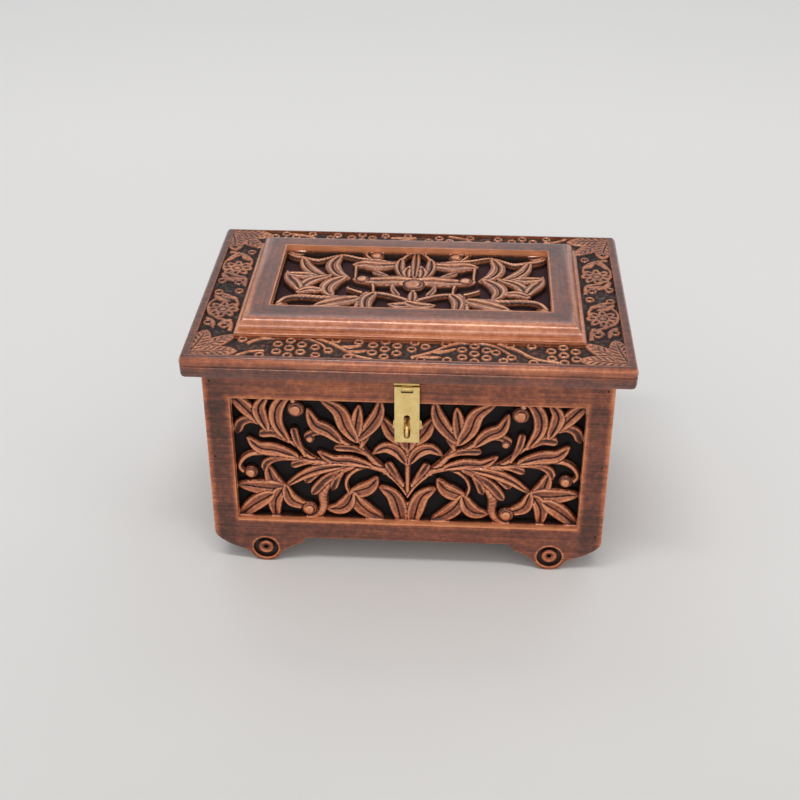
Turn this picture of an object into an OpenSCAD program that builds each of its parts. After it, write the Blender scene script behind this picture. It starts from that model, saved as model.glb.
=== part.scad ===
// Carved wooden jewelry box: pierced case on bracket feet, hinged lid, brass hasp.
// Origin at the bottom centre of the case, +Z up, front toward -Y. Millimetres.

/* [Case] */
// Width of the case across the front
case_w = 233; // [228:1:240]
// Depth of the case, front face to back face
case_d = 149.4; // [144:0.2:156]
// Thickness of the four wall boards
wall_t = 10; // [9.5:0.5:11]
// Height of the bottom edge of the walls above the table
apron_z = 18.5; // [17:0.5:20]
// Length of the brads that hold the corners
brad_len = 18; // [14:1:19]

/* [Lid] */
// Overhang of the lid past the case on every side
overhang = 10.1; // [9:0.1:12]
// Thickness of the lid slab
slab_t = 13.8; // [13:0.1:16]
// Radius of the rounded upper edge of the slab
slab_round = 5; // [3:0.5:6]
// Depth of the sunk border in the slab
border_deep = 2.2; // [1.5:0.1:3]
// Height of the raised frame on the slab
raised_h = 10; // [9:0.5:12]
// Height of the rounded edge of the raised frame
raised_round = 7.6; // [6:0.1:8]
// Width of the rounded edge of the raised frame
raised_wide = 9.2; // [6:0.1:10]

/* [Fretwork] */
// Thickness of the pierced panels in the walls
fret_t = 6; // [5:0.5:6]
// Distance from the wall face back to the face of the pierced panel
fret_sunk = 3.5; // [3:0.5:3.5]
// Thickness of the pierced panel in the lid
lid_fret_t = 5; // [4:0.5:5.5]

/* [Hardware] */
// Width of each butt hinge
hinge_w = 26; // [22:1:34]
// Distance from the centre to each hinge
hinge_x = 70; // [50:1:85]
// Width of the hasp plate
hasp_w = 14.2; // [12:0.2:16]
// Opening angle of the lid in this picture
lid_angle = 0; // [0:5:100]
// Swing of the hasp in this picture
hasp_angle = 0; // [0:5:110]

/* [Hidden] */
$fn = 32;
gap = 0.15;
wall_top = 134.7;
slab_z = 135;
front_y = -case_d / 2;
back_y = case_d / 2;
side_x = case_w / 2;
in_x = side_x - wall_t;
in_y = back_y - wall_t;
lid_w = case_w + 2 * overhang + 0.8;
lid_d = case_d + 2 * overhang;
slab_top = slab_z + slab_t;
raised_top = slab_top + raised_h;

win_w = 203.2;
side_win_w = 102;
win_h = 85.7;
win_z = 31;
rebate = 3.5;

floor_z = 21;
floor_t = 5;
tongue = 4;
lining_t = 2.8;
lining_z1 = 128;

foot_x = 86.1;
foot_z = 9.8;
foot_r = 10;
roundel_r = 8.7;
roundel_t = 4;

border_x = 121;
border_y = 81;
raised_x = 99.4;
raised_y = 58.8;
lid_win_x = 80.8;
lid_win_y = 39.5;
cloth_t = 1.5;

knuckle_r = 2.2;
leaf_t = 1.2;
pin_r = 1;
axis_y = back_y + 2.5;
axis_z = (wall_top + slab_z) / 2;
leaf_in = 7.5;

hasp_t = 1.1;
hasp_y = front_y - 3.3;
hasp_z = 128.5;
hasp_low = 92.5;
eye_in = 1.5;
eye_out = 2.25;
staple_y = front_y + fret_sunk;
staple_z = 100.6;

wood = "#7a4630";
dark_wood = "#5a3226";
brass = "#d8b568";
cloth = "#2e1420";

// Each entry is [kind, width, spine points]. Kinds: 0 stem, 1 leaf, 2 club.
// Spine points are [distance from the centre line, height above the window sill].
CORE = [
  [0, 9.5, [[0, -2], [0, 5], [0, 13]]],
  [1, 11, [[3, -4], [4.5, 6], [8.5, 17], [17, 23.5]]],
  [0, 5.5, [[0, 60], [0, 42], [0, 18]]],
  [1, 8.5, [[0.6, 40.5], [6, 49], [13, 51.5], [20.5, 47]]],
  [1, 10.5, [[1, 54], [7, 60], [11, 65], [15, 73]]],
  [1, 15, [[0, 50], [0, 68], [0, 86]]],
  [0, 3.4, [[18, 38], [9, 30], [4, 24], [0, 17]]],
  [2, 5.2, [[2.5, 25], [8, 34], [12, 41]]],
  [0, 4.2, [[11, 33], [20, 37.5], [28, 36.5], [34.5, 31], [36.5, 24], [34, 17]]],
  [1, 10.5, [[34.5, 18], [28, 20], [22, 23.5], [17.5, 30.5]]],
  [1, 10.5, [[33.5, 20], [29, 10.5], [22, 4], [14.5, 1]]],
  [1, 10.5, [[33, 19.5], [36, 11], [41, 6.5], [48.5, 6]]],
  [0, 5.4, [[13, 34], [20, 42], [26, 50], [28.5, 59]]],
  [2, 5, [[27.5, 51], [24.5, 58], [21.5, 65]]],
  [2, 5.2, [[23, 46], [31, 50], [43, 50.5]]],
  [1, 9.5, [[31, 55], [22, 65.5], [17, 75], [15.5, 85]]],
  [1, 8.2, [[30.5, 57], [29.5, 68], [28, 80.5]]],
  [1, 10.5, [[29, 55], [35.5, 65], [40, 76], [51, 84]]]
];

WINGS = [
  [0, 4.2, [[33, 51], [39, 56], [46, 59.5], [53, 60.5]]],
  [2, 5, [[44, 58.5], [53, 61], [60, 57]]],
  [1, 9.5, [[38, 54], [46, 62], [54, 66.5], [58, 77]]],
  [0, 4.6, [[14, 35.5], [26, 38.5], [45, 39], [56, 42.5], [66, 52], [78, 61.5], [92, 74]]],
  [1, 8, [[20, 38], [33, 41.5], [44, 41.5], [53, 47.5]]],
  [1, 9.5, [[85, 67], [94, 77], [103, 86]]],
  [1, 9, [[81, 61], [85, 71], [85.5, 78], [79.5, 86.5]]],
  [2, 6.6, [[83, 65], [91, 68.5], [97, 66], [99.5, 59.5]]],
  [1, 9, [[69, 54], [75.5, 65], [76, 75], [71.5, 83], [64.5, 85.5]]],
  [0, 5.4, [[68, 86], [66, 82], [65, 77]]],
  [2, 5, [[60, 44], [64.5, 54], [66.5, 63.5]]],
  [2, 6.4, [[69, 54], [78, 59.5], [86.5, 58.8]]],
  [0, 5.4, [[45, 39], [62, 40.5], [76, 44], [88, 45.3], [96, 42], [99.6, 35], [95, 29.5]]],
  [1, 9.2, [[64, 43.5], [77, 47.8], [87, 49], [94, 56]]],
  [2, 5.4, [[66, 42], [77, 41.5], [83, 38.5], [85, 33.5]]],
  [2, 5.4, [[55, 40.5], [62, 39.5], [68.5, 37]]],
  [1, 7.2, [[36, 38.5], [50, 35.5], [61, 30.5], [74, 20.5]]],
  [2, 5, [[49, 35], [56, 29.5], [60.5, 25.5]]],
  [2, 6.6, [[32, 37.5], [41, 33], [49, 27], [57, 16.5]]],
  [2, 5.4, [[38, 34], [42, 27.5], [44.5, 21]]],
  [0, 7.6, [[47, 27.5], [50.5, 17], [50.3, 8], [53.5, 1.5], [60, -1]]],
  [1, 9.5, [[73, 20], [80, 26], [83, 36.5]]],
  [1, 11.5, [[72, 21.5], [85, 20.5], [102, 22]]],
  [1, 9.6, [[74.5, 21], [79.5, 11], [79, -2]]],
  [1, 11, [[80, 17], [91, 9], [103, -3]]],
  [1, 9.2, [[73, 23], [70.5, 13.5], [66, 9.5], [58, 7]]]
];

// Knobs of the scrolls: [distance from the centre line, height, diameter].
WING_KNOBS = [[64.8, 76, 10], [93, 31, 8], [59, 5.5, 9.4], [57, 56, 5.5]];

SIDES = [
  [0, 4.4, [[33, 51], [39, 56], [45, 62], [52, 72]]],
  [0, 4.6, [[14, 35.5], [26, 38.5], [40, 39], [52, 42]]],
  [1, 8, [[20, 38], [33, 41.5], [42, 42], [52, 49]]],
  [2, 6.2, [[32, 37.5], [41, 33.5], [49.5, 25]]],
  [1, 8, [[40, 58], [44, 66], [52, 84]]],
  [1, 7, [[47, 30], [50, 20], [46, 10], [52, -1]]]
];

// Lid panel: [distance from the centre line, distance toward the back].
LID = [
  [1, 10.5, [[46.5, 36], [50.5, 23], [47, 12], [38.5, 4.5]]],
  [1, 9.5, [[70, 32], [66, 19], [58.5, 10], [50, 5.5]]],
  [1, 11.5, [[41, 7], [49, -1.5], [51, -10], [46.5, -19]]],
  [1, 9, [[50, 8], [61, 1.5], [66, -6.5], [68.5, -15.5]]],
  [1, 9.5, [[67, -12], [71, -3], [75, 4], [77.5, 13]]],
  [1, 9, [[60, 8], [68, 8], [78, 10.5]]],
  [1, 8, [[54, -11.5], [62, -10.5], [69, -14.5]]],
  [0, 5.4, [[83, 46], [77, 35], [69, 31], [60, 28.5], [52, 33], [45, 36], [34, 32], [24, 30.5]]],
  [0, 5, [[25, 31], [14, 27], [9, 31], [6, 37], [-1, 44]]],
  [2, 9, [[24, 46], [24.5, 41], [24.5, 35]]],
  [0, 3.6, [[31.5, 46], [32, 39], [28, 32]]],
  [2, 12, [[84, 46], [76, 41], [69.5, 38.5]]],
  [1, 12.5, [[9, 25], [22, 22.5], [31, 24.5], [38.5, 23]]],
  [0, 3.4, [[36.5, 26], [36, 16], [35.5, 3]]],
  [1, 7.6, [[9, 33], [9.5, 20], [6, 6.5]]],
  [1, 6.4, [[3.5, 22], [5, 14], [3.5, 6]]],
  [1, 6.2, [[0, 44], [0, 25], [0, 4]]],
  [1, 12, [[-3, 2], [9, 3.5], [22, 2.5], [37, 4]]],
  [2, 5, [[14, 6], [19, 10.5], [25.5, 15.5]]],
  [0, 3.4, [[26, 3], [24, -5], [23.5, -13]]],
  [2, 4.4, [[12.5, -1], [12, -8], [8.5, -16]]],
  [0, 4.6, [[0, -23.5], [9, -17.5], [19, -13.5], [30, -13], [39, -8]]],
  [0, 5, [[27, -13], [31, -22], [32.5, -34], [32, -42]]],
  [1, 9.5, [[22, -13], [27, -23], [25, -40]]],
  [1, 13, [[31, -20], [44, -25.5], [57, -31]]],
  [0, 5.6, [[33, -19], [52, -20], [66, -19], [75, -22.5], [79, -33], [78, -42]]],
  [2, 11, [[80, -42], [76.5, -36], [73, -30.5]]],
  [1, 6.4, [[0, -10], [0, -18], [0, -27]]],
  [1, 10, [[-4, -24], [4, -28], [14, -27]]],
  [2, 9.6, [[0, -42], [5, -37], [12, -31]]],
  [2, 9, [[46, -42], [47, -36], [45, -30]]],
  [2, 7, [[58, -42], [56, -36], [56, -30]]]
];
LID_KNOBS = [[0, -1, 13], [31, 5, 8.6], [24.5, 37, 9]];

// Carved band: vines and leaves of the front half, [x, y] on the lid.
VINES = [
  [0, 3.2, [[-91, -66], [-84, -60.5], [-72, -57.5], [-59, -58.5], [-49, -65], [-46, -70]]],
  [0, 3.2, [[-54, -57.5], [-44, -63], [-36, -70], [-29, -76.5], [-19, -80]]],
  [0, 3.2, [[2, -77], [14, -70], [24, -61.5], [36, -58.5], [48, -62], [57, -71]]],
  [0, 3.2, [[50, -59], [61, -66], [68, -73], [75, -76.5], [84, -78.5]]],
  [0, 2.8, [[-95, -80], [-88, -75], [-80, -73.5]]],
  [1, 3.4, [[-38, -67], [-32, -67], [-26, -65]]],
  [1, 3.4, [[-34, -72], [-28, -72], [-22, -70.5]]],
  [1, 3.4, [[14, -71], [21, -69], [27, -66]]],
  [1, 3, [[5, -76.5], [12, -76], [19, -76]]]
];
LOBES = [
  [1, 13, [[121, -78], [112, -69], [99, -57]]],
  [1, 14, [[122, -79], [109, -76.5], [95, -75]]],
  [1, 14, [[122, -79], [118.5, -66], [116, -52]]]
];
SIDE_VINES = [
  [0, 3, [[103, -52], [104, -42], [112, -37.5], [119, -30], [119.5, -18], [112, -9]]],
  [0, 3, [[119, -6], [109, -10], [103.5, -18], [103.5, -28]]],
  [0, 3, [[103, 4], [104, 14], [112, 17.5], [119, 26], [119, 38], [111, 46]]],
  [0, 3, [[119, 50], [109, 46], [103.5, 38], [103.5, 28]]]
];
// Six-ring blossoms on the front band and seven-petal daisies on the side bands.
BLOSSOMS = [[-66.5, -70], [-13, -68.5], [37, -71], [86.5, -70]];
BERRIES = [
  [-52, -68.5], [-44.5, -71.5], [-51, -77], [3.5, -60.5], [9.5, -64.5], [2, -68], [49, -69],
  [57.5, -74], [53, -78], [-41, -60], [-28, -61.5], [-33, -78], [-82, -78.5], [-94, -61.5],
  [21, -61], [7.5, -79], [22, -78.5], [57, -60.5], [69, -61], [69.5, -79]
];
DAISIES = [[111, -27], [111, 27]];
BUDS = [[107, -46], [117, -43], [117, -5], [105, -3], [117.5, 10], [107, 8], [105, 50], [117, 57]];

front_board();
back_board();
left_board();
right_board();
bottom_board();
corner_brads();
front_fret();
back_fret();
left_fret();
right_fret();
front_backing();
back_backing();
left_backing();
right_backing();
floor_pad();
front_roundels();
back_roundels();
left_case_leaf();
right_case_leaf();
case_leaf_screws();
staple_plate();
staple();
staple_pins();
lid_slab();
lid_border();
raised_frame();
lid_fret();
lid_backing();
lid_pad();
left_lid_leaf();
right_lid_leaf();
lid_leaf_screws();
left_hinge_pin();
right_hinge_pin();
hasp_hanger();
hanger_screws();
hasp_plate();

// ---- helpers ----

// Box given by its lowest and highest corners.
module span(a, b) {
  translate(a) cube(b - a);
}

// Upright plate: a flat drawing in x and z, its back at y, t thick toward the front.
module upright(y, t) {
  translate([0, y, 0]) rotate([90, 0, 0]) linear_extrude(t) children();
}

function pick(p, i) = p[max(0, min(len(p) - 1, i))];

// Point on a smooth curve through the points p, s counted in points.
function along(p, s) =
  let(i = min(floor(s), len(p) - 2), t = s - i)
  let(a = pick(p, i - 1), b = p[i], c = p[i + 1], d = pick(p, i + 2))
  0.5 * (2 * b + (c - a) * t + (2 * a - 5 * b + 4 * c - d) * t * t + (3 * b - a - 3 * c + d) * t * t * t);

function sample(kind, k, n) =
  kind == 0 ? k / n : kind == 1 ? 0.5 - 0.5 * cos(180 * k / n) : sin(90 * k / n);

function girth(kind, t) =
  kind == 0 ? 1 - 0.45 * t :
  kind == 1 ? max(0.05, pow(sin(180 * pow(t, 0.9)), 0.7)) :
  t < 0.8 ? 0.4 + 0.6 * sin(112.5 * t) : max(0.05, sqrt(1 - pow((t - 0.8) / 0.2, 2)));

function unit(v) = v / max(0.001, norm(v));

// One edge point of a carved element at step k, on side s.
function edge(e, k, n, s) =
  let(m = len(e[2]) - 1, t = sample(e[0], k, n))
  let(c = along(e[2], t * m), dir = unit(along(e[2], min(m, t * m + 0.05)) - along(e[2], max(0, t * m - 0.05))))
  c + s * 0.47 * e[1] * girth(e[0], t) * [-dir[1], dir[0]];

function outline(e, n, f) = concat(
  [for (k = [0:n]) let(q = edge(e, k, n, 1)) [f * q[0], q[1]]],
  [for (k = [n:-1:0]) let(q = edge(e, k, n, -1)) [f * q[0], q[1]]]
);

// An element that runs along the centre line is drawn once, any other on both sides.
function sides(e) = max([for (p = e[2]) abs(p[0])]) == 0 ? [1] : [-1, 1];

module sprigs(list, n = 7) {
  for (e = list) for (f = sides(e)) polygon(outline(e, n, f));
}

module knobs(list) {
  for (k = list, f = [-1, 1]) translate([f * k[0], k[1]]) circle(d = k[2], $fn = 16);
}

module rim(w, h, out, in_by) {
  difference() {
    translate([-w / 2 - out, -out]) square([w + 2 * out, h + 2 * out]);
    translate([-w / 2 + in_by, in_by]) square([w - 2 * in_by, h - 2 * in_by]);
  }
}

// ---- case boards ----

module wall_outline() {
  foot = [for (a = [20:-20:-160]) [foot_x + foot_r * cos(a), max(0, foot_z + foot_r * sin(a))]];
  half = concat(
    [[side_x, wall_top], [side_x, 21], [side_x - 0.9, 18.2], [side_x - 4, 15.2]],
    [[side_x - 8.5, 12.2], [side_x - 13.5, 10], [side_x - 18, 8.2]],
    [for (k = [2:9]) foot[k]],
    [[74, 9], [69, 12], [64.5, 14], [62.5, 16.2], [61, apron_z]]
  );
  polygon(concat(half, [for (k = [len(half) - 1:-1:0]) [-half[k][0], half[k][1]]]));
}

module brad_holes(y, s) {
  for (x = [-side_x + 4, side_x - 4], z = [26, 76, 128])
    translate([x, y, z]) rotate([90 * s, 0, 0]) cylinder(r = 0.8, h = brad_len, $fn = 16);
}

// Front board drawn with its face toward -Y; the back board is the same, turned.
module end_board() {
  difference() {
    upright(front_y + wall_t, wall_t) wall_outline();
    span([-win_w / 2, front_y - 1, win_z], [win_w / 2, front_y + wall_t + 1, win_z + win_h]);
    span([-win_w / 2 - rebate, front_y + fret_sunk, win_z - rebate],
      [win_w / 2 + rebate, front_y + wall_t + 1, win_z + win_h + rebate]);
    span([-in_x - tongue, front_y + wall_t - tongue, floor_z], [in_x + tongue, front_y + wall_t + 1, floor_z + floor_t]);
    for (x = [-foot_x, foot_x]) translate([x, front_y + roundel_t, foot_z]) rotate([90, 0, 0])
      cylinder(r = roundel_r, h = roundel_t + 1);
    brad_holes(front_y, -1);
  }
}

module front_board() {
  color(wood) end_board();
}

module back_board() {
  color(wood) difference() {
    rotate([0, 0, 180]) end_board();
    for (x = [-hinge_x, hinge_x])
      span([x - hinge_w / 2, back_y - leaf_in, wall_top - leaf_t], [x + hinge_w / 2, back_y + 1, wall_top + 1]);
    for (x = [-hinge_x, hinge_x], d = [-8, 0, 8]) translate([x + d, back_y - 4, wall_top - 9])
      cylinder(r = 0.9, h = 9, $fn = 16);
  }
}

// Right-hand side board; the left one is its mirror image.
module side_board() {
  difference() {
    span([in_x, -in_y, apron_z], [side_x, in_y, wall_top]);
    span([in_x - 1, -side_win_w / 2, win_z], [side_x + 1, side_win_w / 2, win_z + win_h]);
    span([in_x - 1, -side_win_w / 2 - rebate, win_z - rebate],
      [side_x - fret_sunk, side_win_w / 2 + rebate, win_z + win_h + rebate]);
    span([in_x - 1, -in_y - 1, floor_z], [in_x + tongue, in_y + 1, floor_z + floor_t]);
    brad_holes(front_y, -1);
    brad_holes(back_y, 1);
  }
}

module left_board() {
  color(wood) mirror([1, 0, 0]) side_board();
}

module right_board() {
  color(wood) side_board();
}

module bottom_board() {
  color(dark_wood) span([-in_x - tongue + gap, -in_y - tongue + gap, floor_z],
    [in_x + tongue - gap, in_y + tongue - gap, floor_z + floor_t]);
}

module brad(y, s) {
  translate([0, y, 0]) rotate([90 * s, 0, 0]) cylinder(r = 0.8, h = brad_len - 0.5, $fn = 16);
}

// Corner brads, driven just below the surface of the front and back boards.
module corner_brads() {
  color("#4a3a30") for (x = [-side_x + 4, side_x - 4], z = [26, 76, 128]) translate([x, 0, z]) {
    brad(front_y + 0.4, -1);
    brad(back_y - 0.4, 1);
  }
}

// ---- pierced panels ----

module wall_fret() {
  rim(win_w, win_h, rebate - gap, -0.2);
  intersection() {
    translate([-win_w / 2 - 1, -1]) square([win_w + 2, win_h + 2]);
    union() {
      sprigs(CORE);
      sprigs(WINGS);
      knobs(WING_KNOBS);
    }
  }
}

module side_fret() {
  rim(side_win_w, win_h, rebate - gap, -0.2);
  intersection() {
    translate([-side_win_w / 2 - 1, -1]) square([side_win_w + 2, win_h + 2]);
    union() {
      sprigs(CORE);
      sprigs(SIDES);
    }
  }
}

module end_fret() {
  translate([0, front_y + fret_sunk + fret_t, win_z]) rotate([90, 0, 0]) linear_extrude(fret_t) wall_fret();
}

module front_fret() {
  color(wood) difference() {
    end_fret();
    for (x = [-6.4, 6.4]) translate([x, staple_y + 4, staple_z]) rotate([90, 0, 0])
      cylinder(r = 0.6, h = 5, $fn = 16);
    for (z = [-3.1, 3.1]) translate([0, staple_y + 4, staple_z + z]) rotate([90, 0, 0])
      cylinder(r = 0.9, h = 5, $fn = 16);
  }
}

module back_fret() {
  color(wood) rotate([0, 0, 180]) end_fret();
}

module right_fret() {
  color(wood) translate([side_x - fret_sunk - fret_t, 0, win_z]) rotate([90, 0, 90])
    linear_extrude(fret_t) side_fret();
}

module left_fret() {
  color(wood) translate([-side_x + fret_sunk + fret_t, 0, win_z]) rotate([90, 0, -90])
    linear_extrude(fret_t) side_fret();
}

// ---- linings ----

module front_backing() {
  color(cloth) span([-in_x + gap, -in_y, floor_z + floor_t], [in_x - gap, -in_y + lining_t, lining_z1]);
}

module back_backing() {
  color(cloth) span([-in_x + gap, in_y - lining_t, floor_z + floor_t], [in_x - gap, in_y, lining_z1]);
}

module right_backing() {
  color(cloth) span([in_x - lining_t, -in_y + lining_t + gap, floor_z + floor_t],
    [in_x, in_y - lining_t - gap, lining_z1]);
}

module left_backing() {
  color(cloth) span([-in_x, -in_y + lining_t + gap, floor_z + floor_t],
    [-in_x + lining_t, in_y - lining_t - gap, lining_z1]);
}

module floor_pad() {
  color(cloth) span([-in_x + lining_t + gap, -in_y + lining_t + gap, floor_z + floor_t],
    [in_x - lining_t - gap, in_y - lining_t - gap, floor_z + floor_t + 2.5]);
}

// ---- turned roundels in the feet ----

module roundel() {
  rotate([90, 0, 0]) rotate_extrude($fn = 40) polygon([
    [0, 0], [roundel_r, 0], [roundel_r, roundel_t - 0.2], [roundel_r - 0.5, roundel_t + 0.2],
    [roundel_r - 1, roundel_t], [roundel_r - 1.1, 1.6], [4.9, 1.4], [4.7, roundel_t - 1], [4.2, roundel_t - 0.3],
    [3.4, roundel_t], [2.6, roundel_t - 0.5], [2, roundel_t - 0.9], [1.5, roundel_t - 1], [1.4, 1], [0, 1]
  ]);
}

module front_roundels() {
  color(wood) for (x = [-foot_x, foot_x]) translate([x, front_y + roundel_t, foot_z]) roundel();
}

module back_roundels() {
  color(wood) rotate([0, 0, 180])
    for (x = [-foot_x, foot_x]) translate([x, front_y + roundel_t, foot_z]) roundel();
}

// ---- hinges ----

module knuckle(x0, x1) {
  translate([x0, axis_y, axis_z]) rotate([0, 90, 0]) cylinder(r = knuckle_r, h = x1 - x0, $fn = 28);
}

module case_leaf(x) {
  color(brass) difference() {
    union() {
      span([x - hinge_w / 2, back_y - leaf_in, wall_top - leaf_t], [x + hinge_w / 2, back_y, wall_top]);
      for (s = [-1, 1]) {
        span([x + s * (hinge_w / 2 - 4) - 4, back_y - 0.1, wall_top - leaf_t],
          [x + s * (hinge_w / 2 - 4) + 4, axis_y, wall_top]);
        knuckle(x + s * (hinge_w / 2 - 4) - 4, x + s * (hinge_w / 2 - 4) + 4);
      }
    }
    translate([x - hinge_w, axis_y, axis_z]) rotate([0, 90, 0]) cylinder(r = pin_r, h = 2 * hinge_w, $fn = 20);
    for (d = [-8, 0, 8]) translate([x + d, back_y - 4, wall_top - leaf_t - 1]) cylinder(r = 1.6, h = 4, $fn = 20);
  }
}

module left_case_leaf() {
  case_leaf(-hinge_x);
}

module right_case_leaf() {
  case_leaf(hinge_x);
}

module lid_leaf(x) {
  half = hinge_w / 2 - 8.3;
  color(brass) lid_turn() difference() {
    union() {
      span([x - hinge_w / 2, back_y - leaf_in, slab_z], [x + hinge_w / 2, back_y, slab_z + leaf_t]);
      span([x - half, back_y - 0.1, slab_z], [x + half, axis_y, slab_z + leaf_t]);
      knuckle(x - half, x + half);
    }
    translate([x - hinge_w, axis_y, axis_z]) rotate([0, 90, 0]) cylinder(r = pin_r, h = 2 * hinge_w, $fn = 20);
    for (d = [-8, 0, 8]) translate([x + d, back_y - 4, slab_z - 1]) cylinder(r = 1.6, h = 4, $fn = 20);
  }
}

module left_lid_leaf() {
  lid_leaf(-hinge_x);
}

module right_lid_leaf() {
  lid_leaf(hinge_x);
}

module hinge_pin(x) {
  color(brass) translate([x - hinge_w / 2 - 0.6, axis_y, axis_z]) rotate([0, 90, 0])
    cylinder(r = pin_r - 0.02, h = hinge_w + 1.2, $fn = 20);
}

module left_hinge_pin() {
  hinge_pin(-hinge_x);
}

module right_hinge_pin() {
  hinge_pin(hinge_x);
}

// Small countersunk screw pointing down, the top of its head at z = 0.
module screw(len) {
  difference() {
    union() {
      translate([0, 0, -leaf_t]) cylinder(r1 = 0.9, r2 = 1.6, h = leaf_t, $fn = 20);
      translate([0, 0, -len]) cylinder(r = 0.88, h = len, $fn = 16);
    }
    span([-2, -0.2, -0.5], [2, 0.2, 1]);
  }
}

module case_leaf_screws() {
  color(brass) for (x = [-hinge_x, hinge_x], d = [-8, 0, 8]) translate([x + d, back_y - 4, wall_top]) screw(8.5);
}

module lid_leaf_screws() {
  color(brass) lid_turn() for (x = [-hinge_x, hinge_x], d = [-8, 0, 8])
    translate([x + d, back_y - 4, slab_z]) rotate([180, 0, 0]) screw(8.5);
}

// ---- lid ----

module lid_turn() {
  translate([0, axis_y, axis_z]) rotate([-lid_angle, 0, 0]) translate([0, -axis_y, -axis_z]) children();
}

// Rounded-corner rectangle drawn from its own points.
module tablet(w, d, r) {
  polygon([for (q = [0:3], a = [0:15:90])
    [(q == 0 || q == 3 ? 1 : -1) * (w / 2 - r) + r * cos(90 * q + a), (q < 2 ? 1 : -1) * (d / 2 - r) + r * sin(90 * q + a)]]);
}

// Corner points of a rectangle w by d with rounding r, set in by s, at height z.
function course(w, d, r, s, z) = [for (q = [0:3], a = r > 0 ? [0, 45, 90] : [0])
  [(q == 0 || q == 3 ? 1 : -1) * (w / 2 - max(r, s)) + max(0, r - s) * cos(90 * q + a),
    (q < 2 ? 1 : -1) * (d / 2 - max(r, s)) + max(0, r - s) * sin(90 * q + a), z]];

// Solid with one outline repeated up a profile of [inset, height] points.
module moulded(w, d, r, prof) {
  n = r > 0 ? 12 : 4;
  m = len(prof);
  pts = [for (p = prof, c = course(w, d, r, p[0], p[1])) c];
  polyhedron(pts, concat(
    [[for (k = [0:n - 1]) k]],
    [[for (k = [n - 1:-1:0]) (m - 1) * n + k]],
    [for (j = [0:m - 2], k = [0:n - 1]) [(j + 1) * n + k, (j + 1) * n + (k + 1) % n, j * n + (k + 1) % n, j * n + k]]
  ));
}

module lid_slab() {
  up = slab_t - slab_round;
  prof = concat(
    [[2.4, 0], [1, 0.6], [0.3, 2], [0.2, up - 2], [0.9, up - 1.5], [0.9, up - 0.7], [0, up - 0.2]],
    [for (a = [0:18:90]) [3 * (1 - cos(a)), up + slab_round * sin(a)]]
  );
  color(wood) lid_turn() difference() {
    translate([0, 0, slab_z]) moulded(lid_w, lid_d, 3.2, prof);
    difference() {
      span([-border_x, -border_y, slab_top - border_deep], [border_x, border_y, slab_top + 1]);
      span([-raised_x - 0.6, -raised_y - 0.6, slab_z], [raised_x + 0.6, raised_y + 0.6, slab_top + 2]);
    }
    for (x = [-hinge_x, hinge_x]) {
      span([x - hinge_w / 2, back_y - leaf_in, slab_z - 1], [x + hinge_w / 2, back_y, slab_z + leaf_t]);
      span([x - hinge_w / 2 - 1, back_y - 0.5, slab_z - 1], [x + hinge_w / 2 + 1, lid_d, slab_z + 2.6]);
    }
    for (x = [-hinge_x, hinge_x], d = [-8, 0, 8]) translate([x + d, back_y - 4, slab_z])
      cylinder(r = 0.9, h = 9, $fn = 16);
    for (x = [-4.6, 4.6]) translate([x, hasp_y - 2.6, slab_z - 0.5]) cylinder(r = 0.9, h = 8, $fn = 16);
  }
}

module ring(x, y, r) {
  translate([x, y]) difference() {
    circle(r = r, $fn = 12);
    circle(r = r * 0.5, $fn = 8);
  }
}

module blossom(x, y) {
  ring(x, y, 3);
  for (a = [30:60:330]) ring(x + 7.8 * cos(a), y + 8.3 * sin(a), 2.9);
}

module daisy(x, y) {
  translate([x, y]) polygon([for (a = [0:10:350]) (7 + 2 * cos(7 * a)) * [cos(a), sin(a)]]);
}

// Carved band, drawn for the front and both sides, then turned for the back.
module band_carving() {
  for (e = VINES) polygon(outline(e, 7, 1));
  for (e = LOBES, f = [-1, 1]) polygon(outline(e, 7, f));
  for (p = BLOSSOMS) blossom(p[0], p[1]);
  for (p = BERRIES) ring(p[0], p[1], 2.8);
}

module lid_border() {
  color(dark_wood) lid_turn() {
    translate([0, 0, slab_top - border_deep]) linear_extrude(0.6) difference() {
      square([2 * border_x - 2 * gap, 2 * border_y - 2 * gap], center = true);
      square([2 * raised_x + 1.2 + 2 * gap, 2 * raised_y + 1.2 + 2 * gap], center = true);
    }
    translate([0, 0, slab_top - border_deep + 0.5]) linear_extrude(border_deep - 0.5) intersection() {
      difference() {
        square([2 * border_x - 2 * gap, 2 * border_y - 2 * gap], center = true);
        square([2 * raised_x + 1.2 + 2 * gap, 2 * raised_y + 1.2 + 2 * gap], center = true);
      }
      union() {
        band_carving();
        rotate(180) band_carving();
        for (f = [-1, 1]) {
          for (e = SIDE_VINES) polygon(outline(e, 7, f));
          for (p = DAISIES) daisy(f * p[0], p[1]);
          for (p = BUDS) ring(f * p[0], p[1], 2.8);
        }
      }
    }
  }
}

// Raised frame: a moulding with a fillet, a wide rounded edge and a flat top.
module raised_frame() {
  q = raised_round;
  prof = concat(
    [[0, 0], [0, 1.5], [0.5, 1.9], [1.9, raised_h - q - 0.1]],
    [for (a = [0:15:90]) [1.9 + raised_wide * (1 - cos(a)), raised_h - q + q * sin(a)]]
  );
  color(wood) lid_turn() difference() {
    translate([0, 0, slab_top]) moulded(2 * raised_x, 2 * raised_y, 0, prof);
    span([-lid_win_x, -lid_win_y, slab_top - 1], [lid_win_x, lid_win_y, raised_top + 1]);
    span([-lid_win_x - rebate, -lid_win_y - rebate, slab_top - 1],
      [lid_win_x + rebate, lid_win_y + rebate, slab_top + cloth_t + lid_fret_t]);
  }
}

module lid_backing() {
  color(cloth) lid_turn() span([-lid_win_x - rebate + gap, -lid_win_y - rebate + gap, slab_top],
    [lid_win_x + rebate - gap, lid_win_y + rebate - gap, slab_top + cloth_t]);
}

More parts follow.
